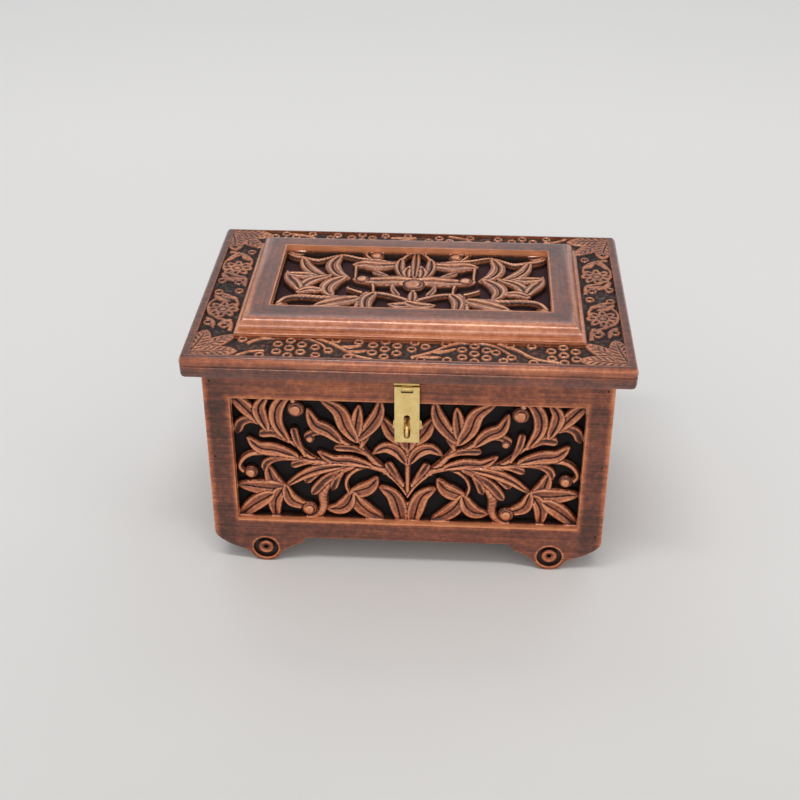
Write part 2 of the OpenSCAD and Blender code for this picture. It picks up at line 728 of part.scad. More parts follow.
module lid_fret() {
  color(wood) lid_turn() translate([0, 0, slab_top + cloth_t]) linear_extrude(lid_fret_t) {
    translate([0, -lid_win_y]) rim(2 * lid_win_x, 2 * lid_win_y, rebate - gap, -0.2);
    intersection() {
      square([2 * lid_win_x + 2, 2 * lid_win_y + 2], center = true);
      union() {
        sprigs(LID);
        knobs(LID_KNOBS);
      }
    }
  }
}

module lid_pad() {
  color(cloth) lid_turn() span([-in_x + 6, -in_y + 6, slab_z - 3], [in_x - 6, in_y - 6 - leaf_in, slab_z]);
}

// ---- hasp ----

// Strap under the lid: a screwed flange and an eye curled round the top bar of the hasp.
module hasp_hanger() {
  color(brass) lid_turn() difference() {
    union() {
      span([-hasp_w / 2, hasp_y - 5.4, slab_z - leaf_t], [hasp_w / 2, hasp_y + eye_out, slab_z]);
      span([-3.1, hasp_y + eye_in, hasp_z], [3.1, hasp_y + eye_out, slab_z - 0.1]);
      translate([-3.1, hasp_y, hasp_z]) rotate([0, 90, 0]) difference() {
        cylinder(r = eye_out, h = 6.2, $fn = 28);
        translate([0, 0, -1]) cylinder(r = eye_in, h = 9, $fn = 28);
      }
    }
    for (x = [-4.6, 4.6]) translate([x, hasp_y - 2.6, slab_z - 4]) cylinder(r = 1.6, h = 5, $fn = 20);
  }
}

module hanger_screws() {
  color(brass) lid_turn() for (x = [-4.6, 4.6]) translate([x, hasp_y - 2.6, slab_z - leaf_t])
    rotate([180, 0, 0]) screw(8);
}

module hasp_plate() {
  color(brass) lid_turn() translate([0, hasp_y, hasp_z]) rotate([-hasp_angle, 0, 0])
    translate([0, -hasp_y, -hasp_z]) difference() {
      span([-hasp_w / 2, hasp_y - hasp_t / 2, hasp_low], [hasp_w / 2, hasp_y + hasp_t / 2, hasp_z + 1.1]);
      span([-3.4, hasp_y - 2, hasp_z - 2.8], [3.4, hasp_y + 2, hasp_z - 1.1]);
      span([-1.8, hasp_y - 2, 97], [1.8, hasp_y + 2, 109.2]);
      for (z = [97, 109.2]) translate([0, hasp_y + 2, z]) rotate([90, 0, 0]) cylinder(r = 1.8, h = 4, $fn = 24);
    }
}

module staple_plate() {
  color(brass) difference() {
    upright(staple_y, 1) translate([0, staple_z]) tablet(16.4, 6.6, 1.6);
    for (x = [-6.4, 6.4]) translate([x, staple_y + 1, staple_z]) rotate([90, 0, 0])
      cylinder(r = 0.62, h = 3, $fn = 16);
    for (z = [-3.1, 3.1]) translate([0, staple_y + 1, staple_z + z]) rotate([90, 0, 0])
      cylinder(r = 0.92, h = 3, $fn = 16);
  }
}

// Wire loop standing through the slot of the hasp.
module staple() {
  reach = staple_y - hasp_y + 0.2;
  color(brass) {
    for (z = [-3.1, 3.1]) translate([0, staple_y + 3.8, staple_z + z]) rotate([90, 0, 0])
      cylinder(r = 0.88, h = reach + 3.8, $fn = 20);
    translate([0, staple_y - reach, staple_z]) rotate([0, -90, 0]) rotate([0, 0, 180])
      rotate_extrude(angle = 180, $fn = 36) translate([3.1, 0]) circle(r = 0.88, $fn = 20);
  }
}

module staple_pins() {
  color(brass) for (x = [-6.4, 6.4]) translate([x, staple_y, staple_z]) {
    translate([0, -1, 0]) rotate([90, 0, 0]) cylinder(r1 = 1.2, r2 = 0.7, h = 0.7, $fn = 20);
    translate([0, 3.8, 0]) rotate([90, 0, 0]) cylinder(r = 0.58, h = 5, $fn = 16);
  }
}
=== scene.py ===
import math

import bpy
import numpy as np
from mathutils import Matrix, Vector, geometry


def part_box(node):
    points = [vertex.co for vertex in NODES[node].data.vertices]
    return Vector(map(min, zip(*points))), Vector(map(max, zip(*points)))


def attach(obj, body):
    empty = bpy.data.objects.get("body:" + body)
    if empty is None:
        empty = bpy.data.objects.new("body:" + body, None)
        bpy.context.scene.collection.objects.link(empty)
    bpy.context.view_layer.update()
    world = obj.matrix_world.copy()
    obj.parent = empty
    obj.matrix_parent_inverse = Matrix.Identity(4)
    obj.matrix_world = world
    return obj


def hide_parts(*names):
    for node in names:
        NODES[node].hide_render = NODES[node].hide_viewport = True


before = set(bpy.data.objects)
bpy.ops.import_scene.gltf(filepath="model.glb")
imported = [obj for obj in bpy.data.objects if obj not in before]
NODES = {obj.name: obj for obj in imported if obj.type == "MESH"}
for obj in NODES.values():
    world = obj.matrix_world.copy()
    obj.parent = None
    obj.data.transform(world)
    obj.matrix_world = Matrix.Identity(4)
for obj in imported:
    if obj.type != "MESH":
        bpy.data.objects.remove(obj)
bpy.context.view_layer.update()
SCENE = bpy.context.scene
MM = 0.001


def box_mm(node):
    """Lowest and highest corner of a CAD node in millimetres."""
    lo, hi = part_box(node)
    return np.array(lo) / MM, np.array(hi) / MM


# ---- values from the frame, millimetres ----

REBATE = 3.35  # how far a pierced panel reaches behind its frame
FRONT_LO, FRONT_HI = box_mm("front_fret")
SIDE_HI = box_mm("right_fret")[1]
LIDF_LO, LIDF_HI = box_mm("lid_fret")
BAND_LO, BAND_HI = box_mm("lid_border")
RAISED_HI = box_mm("raised_frame")[1]
SLAB_LO, SLAB_HI = box_mm("lid_slab")
BOARD_LO, BOARD_HI = box_mm("front_board")
SILL = FRONT_LO[2] + REBATE
WALL_WIN = (FRONT_HI[0] - REBATE, FRONT_HI[2] - REBATE - SILL)
SIDE_WIN = (SIDE_HI[1] - REBATE, WALL_WIN[1])
LID_WIN = (LIDF_HI[0] - REBATE, LIDF_HI[1] - REBATE)
WALL_OPENING = (WALL_WIN[0], 0.0, WALL_WIN[1])
SIDE_OPENING = (SIDE_WIN[0], 0.0, SIDE_WIN[1])
LID_OPENING = (LID_WIN[0], -LID_WIN[1], LID_WIN[1])
BAND_FLOOR = 1.6  # depth of the punched ground of the band
BAND_GAP = 0.75  # between the raised frame and the band
FOOT_X, FOOT_Z = 86.1, 9.8  # middle of a roundel

# ---- carving tables, millimetres ----
# A row is: kind, width, spine points. The walls' tables count x from the centre line
# and y from the sill, the lid's from the middle. Knobs are [x, y, diameter].

STEM, LEAF, CLUB, ROUND = 0, 1, 2, 3


def drawing(text):
    """A table's rows as (kind, width, points)."""
    made = []
    for line in text.split("\n")[1:-1]:
        kind, width, *points = line.split()
        spine = [[float(v) for v in p.split(",")] for p in points]
        made.append((int(kind), float(width), spine))
    return made



CORE = drawing("""
0 9.5 0,-2 0,5 0,13
1 11 3,-4 4.5,6 8.5,17 17,23.5
0 5.5 0,60 0,42 0,18
1 8.5 0.6,40.5 6,49 13,51.5 20.5,47
1 10.5 1,54 7,60 11,65 15,73
1 15 0,50 0,68 0,86
0 3.4 18,38 9,30 4,24 0,17
2 5.2 2.5,25 8,34 12,41
0 4.2 11,33 20,37.5 28,36.5 34.5,31 36.5,24 34,17
1 10.5 34.5,18 28,20 22,23.5 17.5,30.5
1 10.5 33.5,20 29,10.5 22,4 14.5,1
1 10.5 33,19.5 36,11 41,6.5 48.5,6
0 5.4 13,34 20,42 26,50 28.5,59
2 5 27.5,51 24.5,58 21.5,65
2 5.2 23,46 31,50 43,50.5
1 9.5 31,55 22,65.5 17,75 15.5,85
1 8.2 30.5,57 29.5,68 28,80.5
1 10.5 29,55 35.5,65 40,76 51,84
""")
WINGS = drawing("""
0 4.2 33,51 39,56 46,59.5 53,60.5
2 5 44,58.5 53,61 60,57
1 9.5 38,54 46,62 54,66.5 58,77
0 4.6 14,35.5 26,38.5 45,39 56,42.5 66,52 78,61.5 92,74
1 8 20,38 33,41.5 44,41.5 53,47.5
1 9.5 85,67 94,77 103,86
1 9 81,61 85,71 85.5,78 79.5,86.5
2 6.6 83,65 91,68.5 97,66 99.5,59.5
1 9 69,54 75.5,65 76,75 71.5,83 64.5,85.5
0 5.4 68,86 66,82 65,77
2 5 60,44 64.5,54 66.5,63.5
2 6.4 69,54 78,59.5 86.5,58.8
0 5.4 45,39 62,40.5 76,44 88,45.3 96,42 99.6,35 95,29.5
1 9.2 64,43.5 77,47.8 87,49 94,56
2 5.4 66,42 77,41.5 83,38.5 85,33.5
2 5.4 55,40.5 62,39.5 68.5,37
1 7.2 36,38.5 50,35.5 61,30.5 74,20.5
2 5 49,35 56,29.5 60.5,25.5
2 6.6 32,37.5 41,33 49,27 57,16.5
2 5.4 38,34 42,27.5 44.5,21
0 7.6 47,27.5 50.5,17 50.3,8 53.5,1.5 60,-1
1 9.5 73,20 80,26 83,36.5
1 11.5 72,21.5 85,20.5 102,22
1 9.6 74.5,21 79.5,11 79,-2
1 11 80,17 91,9 103,-3
1 9.2 73,23 70.5,13.5 66,9.5 58,7
""")
WING_KNOBS = [[64.8, 76, 10], [93, 31, 8], [59, 5.5, 9.4], [57, 56, 5.5]]
SIDES = drawing("""
0 4.4 33,51 39,56 45,62 52,72
0 4.6 14,35.5 26,38.5 40,39 52,42
1 8 20,38 33,41.5 42,42 52,49
2 6.2 32,37.5 41,33.5 49.5,25
1 8 40,58 44,66 52,84
1 7 47,30 50,20 46,10 52,-1
""")
LID = drawing("""
1 10.5 46.5,36 50.5,23 47,12 38.5,4.5
1 9.5 70,32 66,19 58.5,10 50,5.5
1 11.5 41,7 49,-1.5 51,-10 46.5,-19
1 9 50,8 61,1.5 66,-6.5 68.5,-15.5
1 9.5 67,-12 71,-3 75,4 77.5,13
1 9 60,8 68,8 78,10.5
1 8 54,-11.5 62,-10.5 69,-14.5
0 5.4 83,46 77,35 69,31 60,28.5 52,33 45,36 34,32 24,30.5
0 5 25,31 14,27 9,31 6,37 -1,44
2 9 24,46 24.5,41 24.5,35
0 3.6 31.5,46 32,39 28,32
2 12 84,46 76,41 69.5,38.5
1 12.5 9,25 22,22.5 31,24.5 38.5,23
0 3.4 36.5,26 36,16 35.5,3
1 7.6 9,33 9.5,20 6,6.5
1 6.4 3.5,22 5,14 3.5,6
1 6.2 0,44 0,25 0,4
1 12 -3,2 9,3.5 22,2.5 37,4
2 5 14,6 19,10.5 25.5,15.5
0 3.4 26,3 24,-5 23.5,-13
2 4.4 12.5,-1 12,-8 8.5,-16
0 4.6 0,-23.5 9,-17.5 19,-13.5 30,-13 39,-8
0 5 27,-13 31,-22 32.5,-34 32,-42
1 9.5 22,-13 27,-23 25,-40
1 13 31,-20 44,-25.5 57,-31
0 5.6 33,-19 52,-20 66,-19 75,-22.5 79,-33 78,-42
2 11 80,-42 76.5,-36 73,-30.5
1 6.4 0,-10 0,-18 0,-27
1 10 -4,-24 4,-28 14,-27
2 9.6 0,-42 5,-37 12,-31
2 9 46,-42 47,-36 45,-30
2 7 58,-42 56,-36 56,-30
""")
LID_KNOBS = [[0, -1, 13], [31, 5, 8.6], [24.5, 37, 9]]
VINES = drawing("""
0 3.2 -91,-66 -84,-60.5 -72,-57.5 -59,-58.5 -49,-65 -46,-70
0 3.2 -54,-57.5 -44,-63 -36,-70 -29,-76.5 -19,-80
0 3.2 2,-77 14,-70 24,-61.5 36,-58.5 48,-62 57,-71
0 3.2 50,-59 61,-66 68,-73 75,-76.5 84,-78.5
0 2.8 -95,-80 -88,-75 -80,-73.5
1 3.4 -38,-67 -32,-67 -26,-65
1 3.4 -34,-72 -28,-72 -22,-70.5
1 3.4 14,-71 21,-69 27,-66
1 3 5,-76.5 12,-76 19,-76
""")
LOBES = drawing("""
1 13 121,-78 112,-69 99,-57
1 14 122,-79 109,-76.5 95,-75
1 14 122,-79 118.5,-66 116,-52
""")
SIDE_VINES = drawing("""
0 3 103,-52 104,-42 112,-37.5 119,-30 119.5,-18 112,-9
0 3 119,-6 109,-10 103.5,-18 103.5,-28
0 3 103,4 104,14 112,17.5 119,26 119,38 111,46
0 3 119,50 109,46 103.5,38 103.5,28
1 4.4 104,-14 109,-11.5 115,-13
1 4.4 119,-9 114,-14.5 108,-16.5
1 4.4 104,13 109,12.5 115,15
1 4.4 119,20 115.5,14 110,10
1 4.4 103,-40 107,-41 111,-46
1 4.4 119,-37 115,-42 113,-49
1 4.4 103,40 107,41 111,46
1 4.4 119,37 116,43 113,50
""")
BLOSSOMS = [[-66.5, -70], [-13, -68.5], [37, -71], [86.5, -70]]
BERRIES = [
    [-52, -68.5], [-44.5, -71.5], [-51, -77], [3.5, -60.5], [9.5, -64.5], [2, -68], [49, -69],
    [57.5, -74], [53, -78], [-41, -60], [-28, -61.5], [-33, -78], [-82, -78.5], [-94, -61.5],
    [21, -61], [7.5, -79], [22, -78.5], [57, -60.5], [69, -61], [69.5, -79],
]
DAISIES = [[111, -27], [111, 27]]
BUDS = [[107, -46], [117, -43], [117, -5], [105, -3], [117.5, 10], [107, 8], [105, 50], [117, 57]]


# ---- carved elements ----

SPINE_STEPS = 28  # pieces that a spine is cut into
INK = 0.12  # how far past its outline an element still gives a height
LEAF_WIDTH = 8  # a leaf of the band wider than this has a vein and ribs
PETAL = (6.2, 2.7, 1.75)  # a daisy petal: its middle from the centre, half length, half width
BUTTON = 2.4  # radius of a daisy's middle


def unit(x):
    return np.clip(x, 0, 1)


def spine_point(p, s):
    """Catmull-Rom point at s, counted in points of p."""
    i = min(int(s), len(p) - 2)
    t = s - i
    a, b, c, d = (p[min(max(k, 0), len(p) - 1)] for k in (i - 1, i, i + 1, i + 2))
    square, cube = 2 * a - 5 * b + 4 * c - d, 3 * b - a - 3 * c + d
    return 0.5 * (2 * b + (c - a) * t + square * t**2 + cube * t**3)


def girth(kind, t):
    """Width along an element as a share of its full width."""
    if kind == STEM:
        return 1 - 0.45 * t
    if kind == LEAF:
        return np.maximum(0.05, np.abs(np.sin(np.pi * t**0.9)) ** 0.7)
    round_end = np.sqrt(np.maximum(0.0025, 1 - (np.maximum(t - 0.8, 0) / 0.2) ** 2))
    return np.where(t < 0.8, 0.4 + 0.6 * np.sin(np.radians(112.5 * t)), round_end)


class Sprig:
    """A carved stem, leaf or club, drawn along a spine."""

    def __init__(self, entry, flip=1, turn=1, style="slit"):
        self.kind, self.width = entry[0], entry[1]
        raw = np.array(entry[2]) * [flip * turn, turn]
        steps = np.linspace(0, len(raw) - 1, SPINE_STEPS + 1)
        self.p = np.array([spine_point(raw, s) for s in steps])
        self.half = 0.47 * self.width * girth(self.kind, np.linspace(0, 1, SPINE_STEPS + 1))
        self.length = float(np.linalg.norm(np.diff(self.p, axis=0), axis=1).sum())
        self.lo = self.p.min(0) - self.width
        self.hi = self.p.max(0) + self.width
        self.style = style
        self.flip = flip * turn

    def shape(self, q):
        """Field (how far inside the outline) and depth of the element at points q."""
        a, d = self.p[:-1], np.diff(self.p, axis=0)
        size = (d**2).sum(1)
        rel = q[:, None] - a
        raw = (rel * d).sum(2) / size
        u = unit(raw)
        gap = rel - u[:, :, None] * d
        k = (gap**2).sum(2).argmin(1)
        row = np.arange(len(q))
        u, raw = u[row, k], raw[row, k]
        t = (k + u) / SPINE_STEPS
        cross = d[k, 0] * rel[row, k, 1] - d[k, 1] * rel[row, k, 0]
        lateral = cross / np.sqrt(size[k])
        ended = ((k == 0) & (raw < 0)) | ((k == SPINE_STEPS - 1) & (raw > 1))
        beyond = np.where(ended, np.abs(raw - u) * np.sqrt(size[k]), 0)
        near = np.where(ended, np.abs(lateral), np.sqrt((gap**2).sum(2)[row, k]))
        lateral = np.sign(lateral) * near
        half = np.interp(t, np.linspace(0, 1, SPINE_STEPS + 1), self.half)
        field = np.minimum(half - np.abs(lateral), np.where(beyond > 0, -beyond, np.inf))
        side = np.clip(lateral / half, -1, 1) * self.flip
        return field, self.depth(side, t, half, np.abs(lateral))

    def depth(self, side, t, half, lateral):
        """Depth below the face plane. side is -1..1 across, t is 0..1 along."""
        off = np.abs(side)
        inner = np.clip(half - lateral, 0, None)
        edge = edge_round(inner, np.minimum(1.1, 0.8 * half))
        run = t * self.length
        if self.style == "band":
            if self.kind == STEM:
                return 0.1 + 0.7 * off**2
            if self.width > LEAF_WIDTH:
                vein = ridge(off, 0.1) * 0.9
                rib = unit((wave((run - 0.8 * lateral) / 3.3) - 0.62) / 0.38)
                cut = 0.7 * rib * unit(off * 5 - 0.4) * unit((inner - 0.6) / 0.8)
                return 0.05 + 0.5 * (1 - off) * off + np.maximum(vein, cut) + 0.6 * edge
            return 0.15 + 0.5 * off**2
        if self.kind == STEM:
            nick = 0.5 + 0.5 * np.sin(2 * np.pi * run / 2.3 + 3.0 * side)
            rough = 0.22 if self.style == "flute" else 0.1
            return 0.35 + 0.75 * off**2 + edge + rough * nick
        if self.kind == CLUB:
            dish = 0.75 * unit(1 - (off / 0.68) ** 2) * unit((t - 0.25) * 3)
            return 0.3 + dish + edge + 0.35 * t
        ends = unit(t * 7) * unit((0.93 - t) * 7)
        if self.style == "flute":
            flute = 0.75 * wave(off * 2.05 - 0.02) * unit(1.3 - off)
            slit = ridge(side - 0.06, 0.17) * 1.7
            return 0.2 + np.maximum(flute, slit) * ends + edge + 0.5 * t**2
        dish = unit(1 - (off / 0.76) ** 2)
        slit = ridge(side + 0.08 - 0.3 * (t - 0.5), 0.62 / np.maximum(half, 1.2)) * 1.9
        lean = 0.22 * (1 + side)
        return 0.15 + np.maximum(0.42 * dish + lean * dish, slit) * ends + edge + 0.8 * t**2


class Ball:
    """A carved knob, ring or daisy, round in plan."""

    def __init__(self, x, y, r, style="knob"):
        self.c = np.array([x, y], float)
        self.r, self.style = r, style
        reach = r + 3
        self.lo, self.hi = self.c - reach, self.c + reach
        self.kind = ROUND

    def shape(self, q):
        """Field and depth of the element at points q."""
        d = q - self.c
        r = np.hypot(d[:, 0], d[:, 1])
        a = np.arctan2(d[:, 1], d[:, 0])
        share = unit(r / self.r)
        if self.style == "ring":
            crest = unit(np.abs(share - 0.78) / 0.24)
            hole = unit((0.62 - share) / 0.2)
            return self.r - r, 0.08 + 0.7 * crest**2 + 0.8 * hole
        if self.style == "daisy":
            turn = a - np.round(a * 4 / np.pi) * np.pi / 4
            out, long, wide = PETAL
            petal = np.hypot(r * np.sin(turn) / wide, (r * np.cos(turn) - out) / long)
            bowl = 0.12 + 1.1 * unit(1 - petal / 0.85) ** 0.8 + 0.9 * unit(petal - 1.1)
            button = 0.05 + 0.5 * (r / BUTTON) ** 2
            field = np.maximum(BUTTON - r, (1.35 - petal) * 1.6)
            return field, np.where(r < BUTTON, button, bowl)
        dome = 0.15 + 1.5 * share**3
        curl = ridge(np.abs(r - self.r * 0.62) / self.r, 0.12) * unit(np.cos(a - 0.8) + 0.5)
        return self.r - r, dome + 0.9 * curl


def wave(turns):
    """0 on every whole turn, 1 half way between."""
    return 0.5 - 0.5 * np.cos(2 * np.pi * turns)


def ridge(x, width):
    """1 on x = 0, falling to 0 at width."""
    return unit(1 - np.abs(x) / width) ** 0.8


def edge_round(inner, r):
    """Extra depth of a quarter-round edge of radius r, inner from the outline."""
    s = 1 - unit(inner / r)
    return r * (1 - np.sqrt(np.maximum(0, 1 - s**2)))


def both(table, style):
    """Every entry of a table on both sides of the centre line."""
    made = []
    for e in table:
        middle = all(x == 0 for x, _ in e[2])
        made += [Sprig(e, f, 1, style) for f in ([1] if middle else [-1, 1])]
    return made


def knob_pair(table):
    """Every knob of a table on both sides of the centre line."""
    return [Ball(f * x, y, d / 2) for x, y, d in table for f in ([1] if x == 0 else [-1, 1])]


def layered(items):
    """Stems lowest, then clubs, leaves and knobs."""
    order = {STEM: 0, CLUB: 1, LEAF: 2, ROUND: 3}
    return sorted(items, key=lambda e: order[e.kind])


def sample(items, q, base_field, base_depth):
    """Field and depth of all the items together at points q."""
    field, depth = base_field.copy(), base_depth.copy()
    for e in items:
        near = np.where(np.all((q >= e.lo) & (q <= e.hi), axis=1))[0]
        if not len(near):
            continue
        f, d = e.shape(q[near])
        field[near] = np.maximum(field[near], f)
        on = f > -INK
        depth[near[on]] = d[on]
    return field, depth


def blur(values, weight, sigma):
    """Weighted Gaussian blur of a grid, sigma in cells."""
    reach = int(3 * sigma)
    taps = np.exp(-0.5 * (np.arange(-reach, reach + 1) / sigma) ** 2)

    def along(grid, axis):
        pad = [(reach, reach) if k == axis else (0, 0) for k in (0, 1)]
        wide = np.pad(grid, pad)
        n = grid.shape[axis]
        return sum(w * np.take(wide, range(k, k + n), axis) for k, w in enumerate(taps))

    top = along(along(values * weight, 0), 1)
    return top / np.maximum(along(along(weight, 0), 1), 1e-6)


def crest_of(depth, mask, step):
    """How rubbed and how lit each grid point is painted: 1 on ridges, rubbed copper and painted
    highlight; 0 in hollows, painted shade.
    """
    weight = mask.astype(float)
    fine = blur(depth, weight, 0.9 / step)
    wide = blur(depth, weight, 2.2 / step)
    return unit(0.52 + 0.9 * (fine - depth) + 0.45 * (wide - depth))


# ---- meshes ----


def new_piece(name, verts, faces, rub_and_shading=None):
    """A mesh object from points in metres, with its rubbing and painted light and shade stored at
    the points.
    """
    mesh = bpy.data.meshes.new(name)
    mesh.from_pydata(verts, [], faces)
    mesh.validate()
    if rub_and_shading is not None:
        layer = mesh.attributes.new("rub_and_shading", "FLOAT", "POINT")
        layer.data.foreach_set("value", np.asarray(rub_and_shading, np.float32))
    obj = bpy.data.objects.new(name, mesh)
    SCENE.collection.objects.link(obj)
    return obj


def smooth(obj, angle=40):
    """Smooth shading, with edges sharper than the angle left crisp."""
    obj.data.polygons.foreach_set("use_smooth", [True] * len(obj.data.polygons))
    obj.data.set_sharp_from_angle(angle=math.radians(angle))


class Plane:
    """Where a panel's drawing lies: origin, right, up and outward directions."""

    def __init__(self, origin, right, up):
        self.o = np.array(origin, float)
        self.u, self.v = np.array(right, float), np.array(up, float)
        self.n = np.cross(self.u, self.v)

    def at(self, q, depth):
        """Points q of the drawing, depth below the plane, in metres."""
        return (self.o + q[:, :1] * self.u + q[:, 1:] * self.v - depth[:, None] * self.n) * MM


FRAME_LAP = 0.2  # how far the plain frame of a panel shows in its window
FRAME_DEPTH, SEAT_DEPTH = 0.15, 0.05  # below the face, of that frame and of the staple's seat
SOFTEN = 0.245  # blur of a panel's relief
SIDE_STEP = 1.3  # the rubbed colour fades this far down the sides, into painted shade
CUT_RUB_AND_SHADING, SIDE_RUB_AND_SHADE = 0.72, 0.12  # rubbing and painted highlight on a panel's outline, painted shade at that step
MERGE = 1e-6


def flat_fill(points, loops):
    """Triangles of a flat outline, and the first source point of each of their corners."""
    _, _, tris, origin, _, _ = geometry.delaunay_2d_cdt(
        [Vector(p) for p in points], loops, [], 0, MERGE)
    return [[origin[k][0] for k in t] for t in tris]


def corners_of(grid):
    """The four corner values of every grid cell, counterclockwise."""
    return np.stack([grid[:-1, :-1], grid[:-1, 1:], grid[1:, 1:], grid[1:, :-1]])


def rim_of(number):
    """The outermost numbers of a grid, counterclockwise."""
    sides = number[0, :-1], number[:-1, -1], number[-1, :0:-1], number[:0:-1, 0]
    return np.concatenate(sides).tolist()


def cell_walk(inside, j, i):
    """Corners and crossings round one grid cell, counterclockwise."""
    corner = [(j, i), (j, i + 1), (j + 1, i + 1), (j + 1, i)]
    cross = [("h", j, i), ("v", j, i + 1), ("h", j + 1, i), ("v", j, i)]
    loop = []
    for k in range(4):
        if inside[corner[k]]:
            loop.append(corner[k])
        if inside[corner[k]] != inside[corner[(k + 1) % 4]]:
            loop.append(cross[k])
    return loop


def pierced_panel(name, items, window, plane, thick, step, seat=None):
    """A pierced panel: carved face, upright sides and flat back.

    window is (half width, lowest, highest) of the opening that shows the carving,
    step the size of a grid cell, and seat a rectangle that is left nearly flat."""
    half, low, high = window
    middle_y, half_y = (low + high) / 2, (high - low) / 2
    nx = int(round((2 * half + 2 * REBATE) / step)) + 2
    ny = int(round((high - low + 2 * REBATE) / step)) + 2
    xs = (np.arange(nx + 1) - nx / 2) * step
    ys = middle_y + (np.arange(ny + 1) - ny / 2) * step
    gx, gy = np.meshgrid(xs, ys)

    def solid(q):
        off_x, off_y = np.abs(q[:, 0]), np.abs(q[:, 1] - middle_y)
        rim = np.maximum(off_x - half, off_y - half_y) + FRAME_LAP
        field, deep = sample(items, q, rim, np.full(len(q), FRAME_DEPTH))
        deep = np.where(rim > 0, FRAME_DEPTH, deep)
        if seat:
            x0, y0, x1, y1 = seat
            flat = (q[:, 0] > x0) & (q[:, 0] < x1) & (q[:, 1] > y0) & (q[:, 1] < y1)
            deep = np.where(flat, SEAT_DEPTH, deep)
        edge = np.minimum(half + REBATE - off_x, half_y + REBATE - off_y)
        return np.minimum(field, edge), deep

    grid = np.stack([gx.ravel(), gy.ravel()], 1)
    field, depth = solid(grid)
    field, depth = field.reshape(gx.shape), depth.reshape(gx.shape)
    inside = field > 1e-4
    depth = blur(depth, inside.astype(float), SOFTEN / step)
    rub_and_shading = crest_of(depth, inside, step)

    first = int(inside.sum())
    number = -np.ones(inside.shape, int)
    number[inside] = np.arange(first)
    cuts = {}
    cut_points = []

    def crossing(key):
        """Number of the point where the outline cuts a grid line."""
        if key not in cuts:
            way, j, i = key
            a, b = (j, i), ((j, i + 1) if way == "h" else (j + 1, i))
            fa, fb = field[a], field[b]
            s = min(max(fa / (fa - fb), 0.02), 0.98)
            cuts[key] = first + len(cut_points)
            cut_points.append([gx[a] + (gx[b] - gx[a]) * s, gy[a] + (gy[b] - gy[a]) * s])
        return cuts[key]

    corners = corners_of(inside)
    full = corners.all(0)
    faces = corners_of(number)[:, full].T.tolist()
    rim_edges = []
    for j, i in zip(*np.where(corners.any(0) & ~full)):
        loop = cell_walk(inside, j, i)
        ids = [int(number[k] if len(k) == 2 else crossing(k)) for k in loop]
        faces.append(ids)
        for k in range(len(loop)):
            nxt = (k + 1) % len(loop)
            if len(loop[k]) == 3 and len(loop[nxt]) == 3:
                rim_edges.append((ids[k], ids[nxt]))
    cut_points = np.array(cut_points)
    cut_depth = solid(cut_points)[1]

    # the sides go down in two steps, so the rubbed colour fades below the face into painted shade
    n_cut = len(cut_points)
    bottom = first + 2 * n_cut
    verts = np.concatenate([
        plane.at(grid[inside.ravel()], depth[inside]),
        plane.at(cut_points, cut_depth),
        plane.at(cut_points, np.minimum(cut_depth + SIDE_STEP, thick - 0.5)),
        plane.at(cut_points, np.full(n_cut, thick)),
    ])
    rub_and_shading = np.concatenate([rub_and_shading[inside], np.repeat([CUT_RUB_AND_SHADING, SIDE_RUB_AND_SHADE, 0.0], n_cut)])
    for a, b in rim_edges:
        faces.append([b, a, a + n_cut, b + n_cut])
        faces.append([b + n_cut, a + n_cut, a + 2 * n_cut, b + 2 * n_cut])
    tris = flat_fill(cut_points, [(a - first, b - first) for a, b in rim_edges])
    centres = np.array([cut_points[t].mean(0) for t in tris])
    column = np.clip((centres[:, 0] - xs[0]) / step, 0, nx - 1e-3)
    line = np.clip((centres[:, 1] - ys[0]) / step, 0, ny - 1e-3)
    ci, cj = column.astype(int), line.astype(int)
    fx, fy = column - ci, line - cj
    here = (
        field[cj, ci] * (1 - fx) * (1 - fy) + field[cj, ci + 1] * fx * (1 - fy)
        + field[cj + 1, ci] * (1 - fx) * fy + field[cj + 1, ci + 1] * fx * fy
    )
    faces += [[k + bottom for k in reversed(t)] for t, f in zip(tris, here) if f > 0]
    obj = new_piece(name, verts.tolist(), faces, rub_and_shading)
    smooth(obj, 50)
    return obj


BLOSSOM_REACH = (7.8, 8.3)  # how far the six rings stand from a blossom's middle one
RING, BERRY, DAISY = 2.9, 2.8, 9  # radii


def band_items():
    """Everything carved on the sunk band of the lid."""
    items = []
    reach_x, reach_y = BLOSSOM_REACH
    for turn in (1, -1):
        items += [Sprig(e, 1, turn, "band") for e in VINES]
        items += [Sprig(e, f, turn, "band") for e in LOBES for f in (-1, 1)]
        for x, y in BLOSSOMS:
            items.append(Ball(turn * x, turn * y, 3, "ring"))
            for a in np.radians(np.arange(30, 331, 60)):
                dx, dy = reach_x * math.cos(a), reach_y * math.sin(a)
                items.append(Ball(turn * (x + dx), turn * (y + dy), RING, "ring"))
        items += [Ball(turn * x, turn * y, BERRY, "ring") for x, y in BERRIES]
    for f in (-1, 1):
        items += [Sprig(e, f, 1, "band") for e in SIDE_VINES]
        items += [Ball(f * x, y, DAISY, "daisy") for x, y in DAISIES]
        items += [Ball(f * x, y, BERRY, "ring") for x, y in BUDS]
    return items


PUNCH_SEED = 11  # unevenness of the band's ground
FIELD_OUT = -5.0  # field of a point that no element reaches


